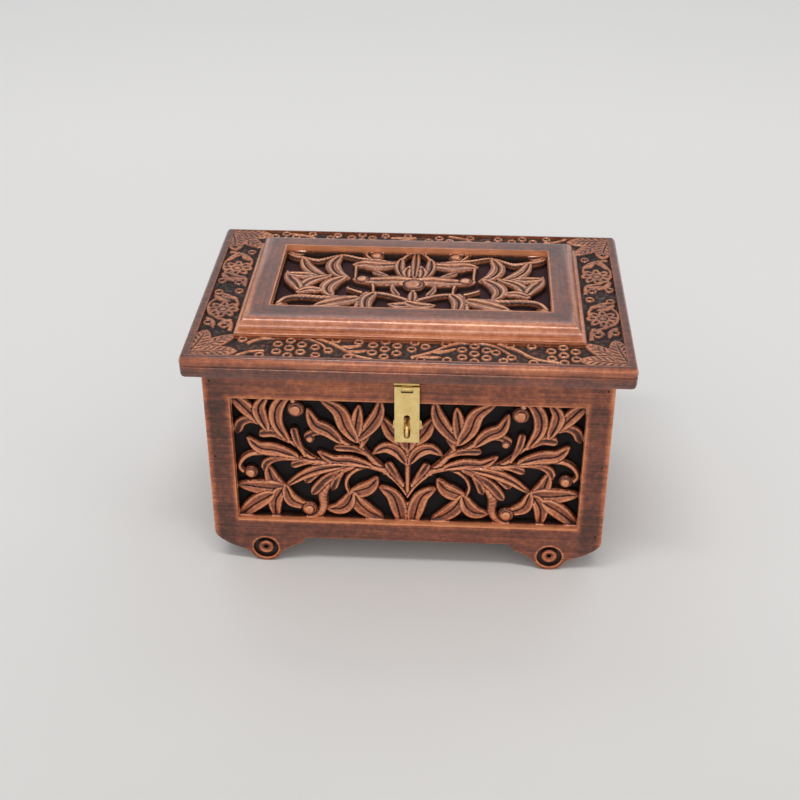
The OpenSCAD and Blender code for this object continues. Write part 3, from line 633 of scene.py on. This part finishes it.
def carved_band(step=0.45):
    """The carved ring round the raised frame, as one closed solid."""
    plane = Plane([0, 0, BAND_HI[2]], [1, 0, 0], [0, 1, 0])
    ox, oy = BAND_HI[0], BAND_HI[1]
    ix, iy = RAISED_HI[0] + BAND_GAP, RAISED_HI[1] + BAND_GAP
    thick = BAND_HI[2] - BAND_LO[2]

    def ticks(outer, inner):
        arm = np.linspace(inner, outer, int((outer - inner) / step) + 1)
        core = np.linspace(-inner, inner, int(2 * inner / step) + 1)
        return np.concatenate([-arm[::-1], core[1:-1], arm])

    xs, ys = ticks(ox, ix), ticks(oy, iy)
    gx, gy = np.meshgrid(xs, ys)
    grid = np.stack([gx.ravel(), gy.ravel()], 1)
    rng = np.random.default_rng(PUNCH_SEED)
    punch = blur(rng.normal(0, 1, gx.shape), np.ones(gx.shape), 1.3)
    punch = np.clip(punch / punch.std() * 0.14, -0.28, 0.28).ravel()
    ground = BAND_FLOOR + punch
    field, depth = sample(layered(band_items()), grid, np.full(len(grid), FIELD_OUT), ground)
    slope = unit(-field / 0.35)
    bank = np.minimum(depth, ground) * slope + (1 - slope) * 0.9
    depth = np.where(field > 0, depth, bank)
    depth = np.minimum(depth, thick - 0.15).reshape(gx.shape)
    keep = (np.abs(gx) >= ix - 1e-6) | (np.abs(gy) >= iy - 1e-6)
    depth = blur(depth, keep.astype(float), 0.6)
    rub_and_shading = crest_of(depth, keep, step)
    # painted shade: the deeper a point of the ground lies, the darker it is
    rub_and_shading = unit(rub_and_shading * unit(1.25 - depth / BAND_FLOOR) * 1.5)
    n = int(keep.sum())
    number = -np.ones(keep.shape, int)
    number[keep] = np.arange(n)
    middle_x, middle_y = (np.abs(v[:-1, :-1] + v[1:, 1:]) / 2 for v in (gx, gy))
    quads = corners_of(number)[:, (middle_x >= ix) | (middle_y >= iy)].T
    top = plane.at(grid[keep.ravel()], depth[keep])
    edges = {}
    for k in range(4):
        for a, b in zip(quads[:, k].tolist(), quads[:, (k + 1) % 4].tolist()):
            if (b, a) in edges:
                del edges[(b, a)]
            else:
                edges[(a, b)] = True
    rim = sorted({a for a, _ in edges} | {b for _, b in edges})
    low = {v: n + k for k, v in enumerate(rim)}
    base = top[rim].copy()
    base[:, 2] = BAND_LO[2] * MM
    faces = quads.tolist() + [[b, a, low[a], low[b]] for a, b in edges]
    flat = top[rim][:, :2] / MM
    for t in flat_fill(flat, [(low[a] - n, low[b] - n) for a, b in edges]):
        x, y = np.abs(flat[t].mean(0))
        if x > ix or y > iy:
            faces.append([k + n for k in reversed(t)])
    rub_and_shading = np.concatenate([rub_and_shading[keep], np.zeros(len(rim))])
    obj = new_piece("carved_band", np.concatenate([top, base]).tolist(), faces, rub_and_shading)
    smooth(obj, 60)
    return obj


# ---- soft pieces ----


PAD_CELLS = (100, 60)
PAD_PITCH = 20  # cells between the seams
PAD_RISE = 1.9  # the most that the swelling moves a point, mm
SEAM_DIP = 0.9  # how far the thread pulls a seam into the pad, mm
PAD_RUN = 20  # frames of the simulation
PRESSURE, TENSION, BENDING, QUALITY = 50, 4, 0.1, 6


def puffed_pad(name, node, up):
    """A quilted velvet pad in the box of a CAD node, its free side toward up (+1 or -1).

    Seams cross it in diamonds, and pressure swells the cloth between them."""
    lo, hi = box_mm(node)
    nx, ny = PAD_CELLS
    xs, ys = np.linspace(lo[0], hi[0], nx + 1), np.linspace(lo[1], hi[1], ny + 1)
    back, face = (lo[2], hi[2]) if up > 0 else (hi[2], lo[2])
    face -= up * PAD_RISE * 0.7
    gx, gy = np.meshgrid(xs, ys)
    ci, cj = np.meshgrid(np.arange(nx + 1), np.arange(ny + 1))
    from_rim = np.minimum(np.minimum(ci, nx - ci), np.minimum(cj, ny - cj))
    folds = [np.minimum(k % PAD_PITCH, -k % PAD_PITCH) for k in (ci + cj, ci - cj)]
    from_seam = np.minimum(np.minimum(*folds), from_rim)
    sewn = from_seam == 0
    layers = []
    for z, pull in ((back, 0), ((back + face) / 2, -0.5), (face - up * SEAM_DIP * sewn, 0.3)):
        layer = np.stack([gx * (1 - pull / hi[0]), gy, np.full(gx.shape, z)], 2)
        layers.append(layer.reshape(-1, 3))
    per = (nx + 1) * (ny + 1)
    number = np.arange(per).reshape(ny + 1, nx + 1)
    ring = rim_of(number)
    side = {k: 2 * per + n for n, k in enumerate(ring)}
    verts = np.concatenate([layers[0], layers[2], layers[1][ring]])
    faces = []
    for a, b, c, d in corners_of(number).reshape(4, -1).T.tolist():
        faces += [[a, d, c, b], [a + per, b + per, c + per, d + per]]
    for k, a in enumerate(ring):
        b = ring[(k + 1) % len(ring)]
        faces += [[a, b, side[b], side[a]], [side[a], side[b], b + per, a + per]]
    if up < 0:
        faces = [f[::-1] for f in faces]
    # painted shade: the cloth is darker along the seams
    crown = unit(from_seam / 3).ravel()
    rub_and_shading = np.concatenate([np.zeros(per), crown, np.zeros(len(ring))])
    start = verts * MM
    obj = new_piece(name, start.tolist(), faces, rub_and_shading)
    group = obj.vertex_groups.new(name="pin")
    group.add(list(range(per)), 1.0, "REPLACE")
    group.add([int(k) + per for k in number[sewn]], 1.0, "REPLACE")
    cloth = obj.modifiers.new("swell", "CLOTH")
    rules = cloth.settings
    rules.vertex_group_mass, rules.effector_weights.gravity = "pin", 0
    rules.use_pressure, rules.uniform_pressure_force = True, PRESSURE
    rules.tension_stiffness, rules.bending_stiffness = TENSION, BENDING
    rules.quality = QUALITY
    cloth.point_cache.frame_start, cloth.point_cache.frame_end = 1, PAD_RUN
    for f in range(1, PAD_RUN + 1):
        SCENE.frame_set(f)
        bpy.context.view_layer.update()
    graph = bpy.context.evaluated_depsgraph_get()
    shaped = obj.evaluated_get(graph).data
    co = np.zeros(len(start) * 3)
    shaped.vertices.foreach_get("co", co)
    obj.modifiers.remove(cloth)
    SCENE.frame_set(1)
    move = co.reshape(-1, 3) - start
    size = np.linalg.norm(move, axis=1, keepdims=True)
    move *= np.minimum(1, PAD_RISE * MM / np.maximum(size, 1e-9))
    obj.data.vertices.foreach_set("co", (start + move).ravel())
    fine = obj.modifiers.new("fine", "SUBSURF")
    fine.levels = fine.render_levels = 1
    smooth(obj, 180)
    return obj


CARD_CELL = 3.2
CARD_SEED = 5  # unevenness of a card's cloth
CARD_EDGE = 5  # how far in from its edge a card reaches its full thickness


def cloth_card(name, node, axis, out):
    """A cloth covered card: flat toward the panel, softly crowned on the inner side.

    axis is the thin direction; out is the sign of the side that faces the panel."""
    lo, hi = box_mm(node)
    long_axis, short_axis = [k for k in range(3) if k != axis]
    size = hi - lo
    n_long, n_short = (int(size[k] / CARD_CELL) for k in (long_axis, short_axis))
    s = np.concatenate([[0, 0.004, 0.012], np.linspace(0.03, 0.97, n_long), [0.988, 0.996, 1]])
    t = np.concatenate([[0, 0.006, 0.016], np.linspace(0.035, 0.965, n_short), [0.984, 0.994, 1]])
    gs, gt = np.meshgrid(s, t)
    from_edge = np.minimum(
        np.minimum(gs, 1 - gs) * size[long_axis], np.minimum(gt, 1 - gt) * size[short_axis])
    crown = size[axis] * (0.62 + 0.38 * np.sqrt(unit(1 - (1 - unit(from_edge / CARD_EDGE)) ** 2)))
    rng = np.random.default_rng(CARD_SEED)
    crown = crown - np.abs(blur(rng.normal(0, 1, gs.shape), np.ones(gs.shape), 3)) * 0.5
    flat = np.full(gs.shape, hi[axis] if out > 0 else lo[axis])
    inner = flat - out * np.clip(crown, 0.5, size[axis])
    both_sides = []
    for level in (flat, inner):
        p = np.zeros(gs.shape + (3,))
        for k, share in ((long_axis, gs), (short_axis, gt)):
            p[..., k] = lo[k] + share * size[k]
        p[..., axis] = level
        both_sides.append(p.reshape(-1, 3))
    per = gs.size
    number = np.arange(per).reshape(gs.shape)
    front = corners_of(number).reshape(4, -1).T
    faces = front.tolist() + (front[:, ::-1] + per).tolist()
    ring = rim_of(number)
    for k, p in enumerate(ring):
        q = ring[(k + 1) % len(ring)]
        faces.append([q, p, p + per, q + per])
    turn = np.cross(np.eye(3)[long_axis], np.eye(3)[short_axis])[axis]
    if turn * out < 0:
        faces = [f[::-1] for f in faces]
    obj = new_piece(name, (np.concatenate(both_sides) * MM).tolist(), faces)
    smooth(obj, 60)
    return obj


# ---- materials ----


def colour(code):
    """Linear colour from a hex code."""
    c = [int(code[k:k + 2], 16) / 255 for k in (1, 3, 5)]
    return tuple(x / 12.92 if x <= 0.04045 else ((x + 0.055) / 1.055) ** 2.4 for x in c) + (1.0,)


class Graph:
    """A material made of nodes, ending in one Principled shader."""

    def __init__(self, name):
        self.mat = bpy.data.materials.new(name)
        self.mat.use_nodes = True
        self.tree = self.mat.node_tree
        self.tree.nodes.clear()
        self.shader = self.tree.nodes.new("ShaderNodeBsdfPrincipled")
        end = self.tree.nodes.new("ShaderNodeOutputMaterial")
        self.tree.links.new(self.shader.outputs[0], end.inputs[0])
        self.place = self.tree.nodes.new("ShaderNodeTexCoord").outputs["Object"]

    def feed(self, socket, value):
        if isinstance(value, bpy.types.NodeSocket):
            self.tree.links.new(value, socket)
        else:
            socket.default_value = value

    def add(self, kind, out, inputs, **props):
        node = self.tree.nodes.new(kind)
        for key, value in props.items():
            setattr(node, key, value)
        for key, value in inputs.items():
            self.feed(node.inputs[key], value)
        return node.outputs[out]

    def math(self, op, a, b=0.0, clamp=False):
        return self.add("ShaderNodeMath", 0, {0: a, 1: b}, operation=op, use_clamp=clamp)

    def plus(self, total, *more, clamp=False):
        """Sum of the values. Only the whole sum is clamped."""
        for k, value in enumerate(more, 1):
            total = self.math("ADD", total, value, clamp and k == len(more))
        return total

    def minus(self, a, b):
        return self.math("SUBTRACT", a, b)

    def times(self, a, b, clamp=False):
        return self.math("MULTIPLY", a, b, clamp)

    def size(self, a):
        return self.math("ABSOLUTE", a)

    def mean(self, a, b):
        return self.plus(self.times(a, 0.5), self.times(b, 0.5))

    def past(self, k, edge):
        """How far out along an axis, on either side, a point lies past edge (mm)."""
        return self.minus(self.size(self.axis(k)), edge * MM)

    def stretch(self, scale):
        return self.add("ShaderNodeMapping", 0, {"Vector": self.place, "Scale": scale})

    def noise(self, scale, detail=4.0, rough=0.55, where=None, warp=0.0):
        return self.add("ShaderNodeTexNoise", 0, {
            "Vector": where or self.place, "Scale": scale, "Detail": detail, "Roughness": rough,
            "Distortion": warp})

    def span(self, value, a, b, c=0.0, d=1.0):
        return self.add("ShaderNodeMapRange", 0, {0: value, 1: a, 2: b, 3: c, 4: d}, clamp=True)

    def spread(self, noise, low, high):
        """Noise as a value from low to high."""
        return self.span(noise, 0.3, 0.7, low, high)

    def ramp(self, value, stops):
        node = self.tree.nodes.new("ShaderNodeValToRGB")
        self.feed(node.inputs[0], value)
        band = node.color_ramp
        while len(band.elements) < len(stops):
            band.elements.new(0.5)
        for element, (at, code) in zip(band.elements, stops):
            element.position, element.color = at, colour(code)
        return node.outputs[0]

    def mix(self, share, a, b):
        return self.add("ShaderNodeMix", 2, {0: share, 6: a, 7: b}, data_type="RGBA")

    def axis(self, k):
        return self.add("ShaderNodeSeparateXYZ", k, {0: self.place})

    def attribute(self, name):
        return self.add("ShaderNodeAttribute", "Fac", {}, attribute_name=name)

    def edges(self, radius):
        """1 on sharp outer and inner edges within the radius, 0 on flat faces."""
        soft = self.add("ShaderNodeBevel", 0, {"Radius": radius}, samples=6)
        true = self.tree.nodes.new("ShaderNodeNewGeometry").outputs["Normal"]
        dot = self.add("ShaderNodeVectorMath", 1, {0: soft, 1: true}, operation="DOT_PRODUCT")
        return self.span(dot, 0.97, 0.8)

    def end(self, base, rough, height=None, strength=0.3, depth=0.0004, **sockets):
        self.feed(self.shader.inputs["Base Color"], base)
        self.feed(self.shader.inputs["Roughness"], rough)
        if height is not None:
            bump = self.add(
                "ShaderNodeBump", 0, {"Strength": strength, "Distance": depth, "Height": height})
            self.feed(self.shader.inputs["Normal"], bump)
        for key, value in sockets.items():
            self.feed(self.shader.inputs[key.replace("_", " ")], value)
        return self.mat


WOOD_STOPS = [
    (0.0, "#1f0d08"), (0.3, "#4e2719"), (0.55, "#834530"), (0.78, "#b8683f"), (1.0, "#de9468")]
GROUND_STOPS = [
    (0.0, "#231613"), (0.3, "#43302a"), (0.55, "#7e452e"), (0.8, "#bf7448"), (1.0, "#e8ab80")]
GRAIN = ((420.0, 14.0), (1500.0, 40.0))  # lines per metre across and along the wood, broad and thin
EDGE_WEAR = 0.34  # how much lighter a worn edge is
BUMP, FINE_BUMP = 0.0005, 0.0004  # metres


def grain(g, across, along, axis):
    """Noise stretched along an axis: lines per metre across and along it."""
    scale = [across] * 3
    scale[axis] = along
    return g.noise(1.0, 5.0, 0.6, g.stretch(scale), 0.3)


def streaks(g, along):
    """Broad and thin wood grain along an axis.

    "frame" turns the grain with the four mitred members of the raised frame."""
    if along != "frame":
        return [grain(g, *lines, along) for lines in GRAIN]
    side = g.math("GREATER_THAN", g.past(0, RAISED_HI[0]), g.past(1, RAISED_HI[1]))
    return [g.mix(side, grain(g, *lines, 0), grain(g, *lines, 1)) for lines in GRAIN]


def rubbed_board(name, along, lift=0.0, edge=0.0024, extra=None, gloss=0.36, coat=0.15,
                 streak=0.15):
    """Dark stained board with copper colour rubbed into the grain and on the edges.

    streak is how far the grain lines move the tone either way."""
    g = Graph(name)
    slow = g.noise(30.0, 4.0, 0.6)
    broad, thin = streaks(g, along)
    worn = g.times(g.edges(edge), g.span(g.noise(160.0, 3.0), 0.3, 0.6, 0.5, 1.0))
    tone = g.plus(
        g.span(broad, 0.3, 0.72, 0.21 - streak, 0.21 + streak),
        g.span(thin, 0.3, 0.72, 0.15 - streak, 0.15 + streak),
        g.spread(slow, -0.1, 0.14), g.span(g.noise(330.0, 4.0, 0.7), 0.35, 0.7, -0.1, 0.14),
        lift, g.times(worn, EDGE_WEAR))
    if extra:
        tone = g.plus(tone, extra(g))
    tone = g.times(tone, 1.0, True)
    rough = g.spread(thin, gloss - 0.06, gloss + 0.16)
    return g.end(
        g.ramp(tone, WOOD_STOPS), rough, g.mean(broad, thin), 0.35, BUMP,
        Metallic=g.times(tone, 0.22), Coat_Weight=coat, Coat_Roughness=0.19, Coat_IOR=1.7)


def carved_wood(name, stops, contrast=1.0, lift=0.0, bright=0.35, coat=0.5, extra=None):
    """Carved wood: painted shade in the hollows, copper rubbed and a painted highlight on the
    ridges.
    """
    g = Graph(name)
    if extra:
        lift = g.plus(extra(g), lift)
    rub_and_shading = g.attribute("rub_and_shading")
    patch = g.noise(70.0, 3.0, 0.6)
    speck = g.noise(520.0, 4.0, 0.7)
    thin = g.noise(1.0, 4.0, 0.6, g.stretch([500.0, 900.0, 1600.0]), 0.4)
    tone = g.plus(
        g.times(rub_and_shading, contrast), lift, g.spread(patch, -0.1, 0.1), g.spread(speck, -0.16, 0.16),
        g.spread(thin, -0.08, 0.1), clamp=True)
    rough = g.plus(g.spread(speck, 0.0, 0.18), g.span(rub_and_shading, 0.1, 0.6, 0.62, 0.3))
    return g.end(
        g.ramp(tone, stops), rough, g.mean(thin, speck), 0.4, FINE_BUMP,
        Metallic=g.times(tone, bright), Coat_Weight=g.span(rub_and_shading, 0.15, 0.6, 0.0, coat),
        Coat_Roughness=0.17, Coat_IOR=1.6, Specular_IOR_Level=0.35)


def velvet(name, deep, lit, quilted=False):
    """Short pile cloth with soft sheen, with painted shade along its seams if it is quilted."""
    g = Graph(name)
    pile = g.noise(2600.0, 3.0, 0.7)
    nap = g.noise(120.0, 3.0, 0.5)
    share = g.span(g.plus(g.times(pile, 0.75), g.times(nap, 0.25)), 0.35, 0.65)
    if quilted:
        # painted shade along the seams of a quilted pad
        share = g.times(share, g.span(g.attribute("rub_and_shading"), 0.0, 1.0, 0.15, 1.0))
    base = g.ramp(share, [(0.0, deep), (1.0, lit)])
    return g.end(base, 0.9, pile, 0.5, FINE_BUMP, Sheen_Weight=0.12, Sheen_Roughness=0.4)


def brass(name, base_a, base_b, rough=0.3, shaded_below=None):
    """Metal with fine scratches and faint tarnish, and nearly black with painted shade under a
    height if one is given.
    """
    g = Graph(name)
    brushed = g.noise(1.0, 4.0, 0.6, g.stretch([2400.0, 2400.0, 160.0]))
    tarnish = g.noise(260.0, 4.0, 0.6)
    spots = g.span(g.noise(700.0, 2.0), 0.62, 0.72)
    tone = g.plus(g.spread(tarnish, 0.0, 0.7), g.times(spots, 0.25))
    base = g.mix(tone, colour(base_a), colour(base_b))
    if shaded_below:
        # painted shade: nearly black below the height, where the eye sits in the hasp's slot
        slot_shade = g.span(g.axis(2), (shaded_below + 0.3) * MM, (shaded_below - 0.1) * MM)
        base = g.mix(slot_shade, base, colour("#1c140c"))
    shine = g.plus(g.spread(brushed, rough - 0.06, rough + 0.1), g.times(spots, 0.15))
    return g.end(base, shine, g.plus(brushed, tarnish), 0.08, 0.0002, Metallic=0.8)


SHARP = math.radians(35)


def shade_group():
    """Node group: smooth shading, with edges over SHARP kept crisp."""
    tree = bpy.data.node_groups.new("shade_by_angle", "GeometryNodeTree")
    for way in ("INPUT", "OUTPUT"):
        tree.interface.new_socket("Geometry", in_out=way, socket_type="NodeSocketGeometry")
    new, link = tree.nodes.new, tree.links.new
    start, end = new("NodeGroupInput"), new("NodeGroupOutput")
    faces, crisp = (new("GeometryNodeSetShadeSmooth") for _ in range(2))
    faces.domain, crisp.domain = "FACE", "EDGE"
    angle = new("GeometryNodeInputMeshEdgeAngle")
    small = new("FunctionNodeCompare")
    small.data_type, small.operation = "FLOAT", "LESS_THAN"
    small.inputs[1].default_value = SHARP
    link(angle.outputs[0], small.inputs[0])
    link(start.outputs[0], faces.inputs[0])
    link(faces.outputs[0], crisp.inputs[0])
    link(small.outputs[0], crisp.inputs["Shade Smooth"])
    link(crisp.outputs[0], end.inputs[0])
    return tree


SHADE = shade_group()


def dress(mat, bevel, *nodes):
    """Gives CAD nodes a material, rounded edges and smooth shading, all as modifiers."""
    for obj in (NODES[node] for node in nodes):
        if not obj.material_slots:
            obj.data.materials.append(mat)
        for s in obj.material_slots:
            s.material = mat
        weld = obj.modifiers.new("weld", "WELD")
        weld.merge_threshold = MERGE
        if bevel:
            flat = obj.modifiers.new("flat", "DECIMATE")
            flat.decimate_type = "DISSOLVE"
            flat.angle_limit = math.radians(0.6)
            cut = obj.modifiers.new("edge", "BEVEL")
            cut.width, cut.segments, cut.limit_method = bevel * MM, 2, "ANGLE"
            cut.angle_limit = SHARP
        shade = obj.modifiers.new("shade", "NODES")
        shade.node_group = SHADE


# ---- extra tones: what the rubbing and painted light and shade add at certain places ----


def side_shade(g):
    """The band is darker on the lid's two ends."""
    return g.span(g.size(g.axis(0)), 0.095, 0.106, 0.0, -0.13)


def window_lines(g):
    """Copper line on the rim of the front and back windows, brightest on the sill, where a painted
    highlight runs along it.
    """
    z = g.axis(2)
    side = g.past(0, WALL_WIN[0])
    half = WALL_WIN[1] / 2
    rise = g.minus(g.size(g.minus(z, (SILL + half) * MM)), half * MM)
    away = g.math("MAXIMUM", side, rise)
    low = g.size(g.minus(z, SILL * MM))
    # painted highlight along the top of the sill
    sill = g.times(g.span(low, 0.0004, 0.0013, 0.3, 0.0), g.math("LESS_THAN", side, 0.0))
    rim = g.minus(BOARD_HI[0] * MM, g.size(g.axis(0)))
    stile = g.times(g.span(side, 0.001, 0.0035), g.span(rim, 0.0015, 0.004))
    out = g.minus(-BOARD_LO[1] * MM, g.size(g.axis(1)))
    ends = g.times(g.span(rim, 0.0008, 0.0034, 0.24, 0.0), g.span(out, 0.0004, 0.0016, 1.0, 0.0))
    return g.plus(g.span(away, 0.0006, 0.003, 0.2, 0.0), ends, sill, g.times(stile, -0.13))


def rail_rub_and_warm_light(g):
    """The rubbing is a little stronger on the top rail, and the right end is painted lighter with
    painted warm light.
    """
    top = g.span(g.axis(2), 0.114, 0.119, 0.0, 0.14)
    return g.plus(window_lines(g), top, g.span(g.axis(0), 0.08, 0.117, 0.0, 0.06))


def slab_tone(g):
    """Moulded edge under a dark flat top, its upper round painted lighter: copper and a painted
    highlight where it faces the light.
    """
    upper_highlight = g.span(g.minus(g.axis(2), SLAB_LO[2] * MM), 0.0068, 0.0112, 0.0, 0.34)
    top = g.span(g.minus(SLAB_HI[2] * MM, g.axis(2)), 0.0003, 0.0013, -0.34, 0.0)
    return g.plus(upper_highlight, top)


def frame_tone(g):
    """Bright copper quarter round of the raised frame, and its inner edge painted lighter, partly
    copper and partly painted light.
    """
    away = g.math("MAXIMUM", g.past(0, LID_WIN[0]), g.past(1, LID_WIN[1]))
    drop = g.minus(RAISED_HI[2] * MM, g.axis(2))
    # painted light, with copper, on the inner walls of the window
    inner = g.span(away, 0.0002, 0.0014, 0.42, 0.0)
    return g.plus(g.span(drop, 0.0002, 0.0012, -0.02, 0.34), inner)


def roundel_tone(g):
    """Groove darkened with its depth as painted shade, copper boss, and a pin hole painted black as
    painted shade.
    """
    x, z = g.past(0, FOOT_X), g.minus(g.axis(2), FOOT_Z * MM)
    out = g.math("SQRT", g.plus(g.times(x, x), g.times(z, z)))
    # painted shade: the deeper the groove, the darker
    groove = g.span(g.size(g.axis(1)), 0.0726, 0.0744, -0.7, 0.32)
    # painted shade: a black disc on the pin hole
    return g.plus(groove, g.span(out, 0.001, 0.0014, -0.9, 0.0))


# ---- assembling ----

SEAT_ROOM = 0.4  # round the staple's plate


def settle(obj, body, node, mat):
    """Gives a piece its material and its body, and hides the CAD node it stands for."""
    obj.data.materials.append(mat)
    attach(obj, body)
    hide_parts(node)


def make_panels():
    """The five carved panels and the carved band."""
    thick = FRONT_HI[1] - FRONT_LO[1]
    wall_items = layered(both(CORE + WINGS, "slit") + knob_pair(WING_KNOBS))
    side_items = layered(both(CORE + SIDES, "slit"))
    lid_items = layered(both(LID, "flute") + knob_pair(LID_KNOBS))
    lo, hi = box_mm("staple_plate")
    staple_seat = (
        lo[0] - SEAT_ROOM, lo[2] - SILL - SEAT_ROOM, hi[0] + SEAT_ROOM, hi[2] - SILL + SEAT_ROOM)
    back_y, left_x = box_mm("back_fret")[1][1], box_mm("left_fret")[0][0]
    wall_mat = carved_wood("carved_wall_wood", WOOD_STOPS, 1.3, -0.08, coat=0.6)
    for wall, items, window, origin, right, step, seat in (
        ("front", wall_items, WALL_OPENING, [0, FRONT_LO[1], SILL], [1, 0, 0], 0.5, staple_seat),
        ("back", wall_items, WALL_OPENING, [0, back_y, SILL], [-1, 0, 0], 0.6, None),
        ("right", side_items, SIDE_OPENING, [SIDE_HI[0], 0, SILL], [0, 1, 0], 0.55, None),
        ("left", side_items, SIDE_OPENING, [left_x, 0, SILL], [0, -1, 0], 0.55, None),
    ):
        plane = Plane(origin, right, [0, 0, 1])
        obj = pierced_panel(f"{wall}_carving", items, window, plane, thick, step, seat)
        settle(obj, "case", f"{wall}_fret", wall_mat)
    plane = Plane([0, 0, LIDF_HI[2]], [1, 0, 0], [0, 1, 0])
    obj = pierced_panel("lid_carving", lid_items, LID_OPENING, plane, LIDF_HI[2] - LIDF_LO[2], 0.45)
    mat = carved_wood("carved_lid_wood", GROUND_STOPS, 1.0, 0.1, 0.5, 1.0)
    settle(obj, "lid", "lid_fret", mat)
    obj = carved_band()
    mat = carved_wood("carved_band_wood", GROUND_STOPS, 0.76, 0.08, 0.3, 0.5, side_shade)
    settle(obj, "lid", "lid_border", mat)


def make_soft():
    """Velvet pads, cloth covered cards and the cloth under the lid panel."""
    dark = velvet("black_velvet", "#0c0709", "#1d1115")
    wine = velvet("wine_velvet", "#20060d", "#702438", True)
    maroon = velvet("maroon_cloth", "#1e070c", "#431420")
    for name, node, body, up in (
        ("floor_cushion", "floor_pad", "case", 1), ("lid_cushion", "lid_pad", "lid", -1),
    ):
        pad = puffed_pad(name, node, up)
        settle(pad, body, node, wine)
    for wall, axis, out in (("front", 1, -1), ("back", 1, 1), ("left", 0, -1), ("right", 0, 1)):
        card = cloth_card(f"{wall}_lining", f"{wall}_backing", axis, out)
        settle(card, "case", f"{wall}_backing", dark)
    card = cloth_card("lid_cloth", "lid_backing", 2, -1)
    settle(card, "lid", "lid_backing", maroon)


def make_wood():
    """The CAD boards, slab, raised frame and roundels."""
    front = rubbed_board("front_wood", 0, 0.08, extra=rail_rub_and_warm_light, streak=0.12)
    dress(front, 0.5, "front_board", "back_board")
    dress(rubbed_board("side_wood", 1, 0.1), 0.5, "left_board", "right_board")
    dress(rubbed_board("bottom_wood", 0, -0.12), 0.4, "bottom_board")
    slab = rubbed_board("slab_wood", 0, 0.02, extra=slab_tone, gloss=0.27, coat=0.45, streak=0.09)
    dress(slab, 0, "lid_slab")
    raised = rubbed_board(
        "frame_wood", "frame", 0.1, extra=frame_tone, gloss=0.27, coat=0.8, streak=0.08)
    dress(raised, 0, "raised_frame")
    turned = rubbed_board("turned_wood", 0, 0.1, 0.0006, roundel_tone, 0.4, 0.0)
    dress(turned, 0, "front_roundels", "back_roundels")


def make_metal():
    """The CAD hasp, staple, hinges, screws and brads."""
    pale = brass("pale_brass", "#fbe09c", "#e6c274", 0.34)
    # the hanger's eye is painted dark inside the hasp slot: painted shade
    dark = brass("eye_brass", "#e9d08a", "#c9a558", 0.3, BOARD_HI[2] - 7.0)
    dress(dark, 0.1, "hasp_hanger")
    dress(pale, 0.15, "hasp_plate", "left_case_leaf", "right_case_leaf", "left_lid_leaf",
          "right_lid_leaf", "staple_plate")
    dress(pale, 0, "staple", "staple_pins", "case_leaf_screws", "lid_leaf_screws",
          "hanger_screws", "left_hinge_pin", "right_hinge_pin")
    dress(brass("dull_steel", "#4b4038", "#2d2520", 0.5), 0, "corner_brads")


# name, place, width, depth, watts, colour
LAMPS = (
    ("strip", (-0.16, -0.75, 2.35), 1.6, 0.26, 18.0, (1.0, 0.98, 0.96)),
    ("back", (0.0, 1.2, 1.8), 2.4, 0.8, 6.0, (0.98, 0.98, 1.0)),
    ("key", (-0.6, -1.15, 1.2), 0.9, 0.9, 1.0, (1.0, 0.97, 0.94)),
    ("low", (0.15, -3.0, 0.95), 2.4, 0.5, 16.0, (1.0, 0.94, 0.9)),
    ("warm", (1.3, -0.9, 0.45), 0.5, 0.5, 1.8, (1.0, 0.82, 0.66)),
)
LAMP_AIM = Vector((0, 0, 0.08))
FLOOR_SIZE = 8.0
FLOOR_STOPS = [(0.0, "#cfcfcc"), (0.35, "#e4e4e2"), (1.0, "#eeeeec")]  # from near to far: painted light, lighter toward the back
WORLD_TINT, WORLD_LIGHT = (0.9, 0.9, 0.92, 1.0), 0.58


def make_stage():
    """Pale floor and soft studio light."""
    bpy.ops.mesh.primitive_plane_add(size=FLOOR_SIZE, location=(0, 0, 0))
    floor = bpy.context.object
    floor.name = "floor"
    g = Graph("floor_paper")
    # painted light: the floor grows lighter toward the back
    far = g.span(g.axis(1), -0.45, 0.65)
    tone = g.plus(far, g.spread(g.noise(3.0, 3.0, 0.5), -0.04, 0.04), clamp=True)
    floor.data.materials.append(
        g.end(g.ramp(tone, FLOOR_STOPS), 0.75, g.noise(900.0, 3.0), 0.05, 0.0002))

    world = bpy.data.worlds.new("studio")
    SCENE.world = world
    world.use_nodes = True
    back = world.node_tree.nodes["Background"]
    back.inputs[0].default_value, back.inputs[1].default_value = WORLD_TINT, WORLD_LIGHT
    for name, place, wide, deep, power, tint in LAMPS:
        lamp = bpy.data.lights.new(name, "AREA")
        lamp.shape = "RECTANGLE"
        lamp.energy, lamp.size, lamp.size_y, lamp.color = power, wide, deep, tint
        obj = bpy.data.objects.new(name, lamp)
        SCENE.collection.objects.link(obj)
        obj.location = place
        obj.rotation_euler = (LAMP_AIM - Vector(place)).to_track_quat("-Z", "Y").to_euler()


# the camera, fitted to corners of the box in the photograph
CAMERA_PLACE = Vector((0.0322293, -0.7252836, 0.5264805))
CAMERA_RIGHT = Vector((0.9985, 0.0554, -0.0006)).normalized()
CAMERA_BACK = Vector((0.0473, -0.8464, 0.5305)).normalized()
LENS, SENSOR = 61.18, 36.0  # mm


def make_camera():
    """Camera at the photograph's angle: a slightly turned view from above the front."""
    data = bpy.data.cameras.new("camera")
    data.lens, data.sensor_width = LENS, SENSOR
    data.clip_start, data.clip_end = 0.05, 20.0
    cam = bpy.data.objects.new("camera", data)
    SCENE.collection.objects.link(cam)
    up = CAMERA_BACK.cross(CAMERA_RIGHT).normalized()
    right = up.cross(CAMERA_BACK)
    turn = Matrix((right, up, CAMERA_BACK)).transposed().to_4x4()
    cam.matrix_world = Matrix.Translation(CAMERA_PLACE) @ turn
    SCENE.camera = cam


make_camera()
make_stage()
make_panels()
make_soft()
make_wood()
make_metal()
SCENE.view_settings.view_transform = "Standard"
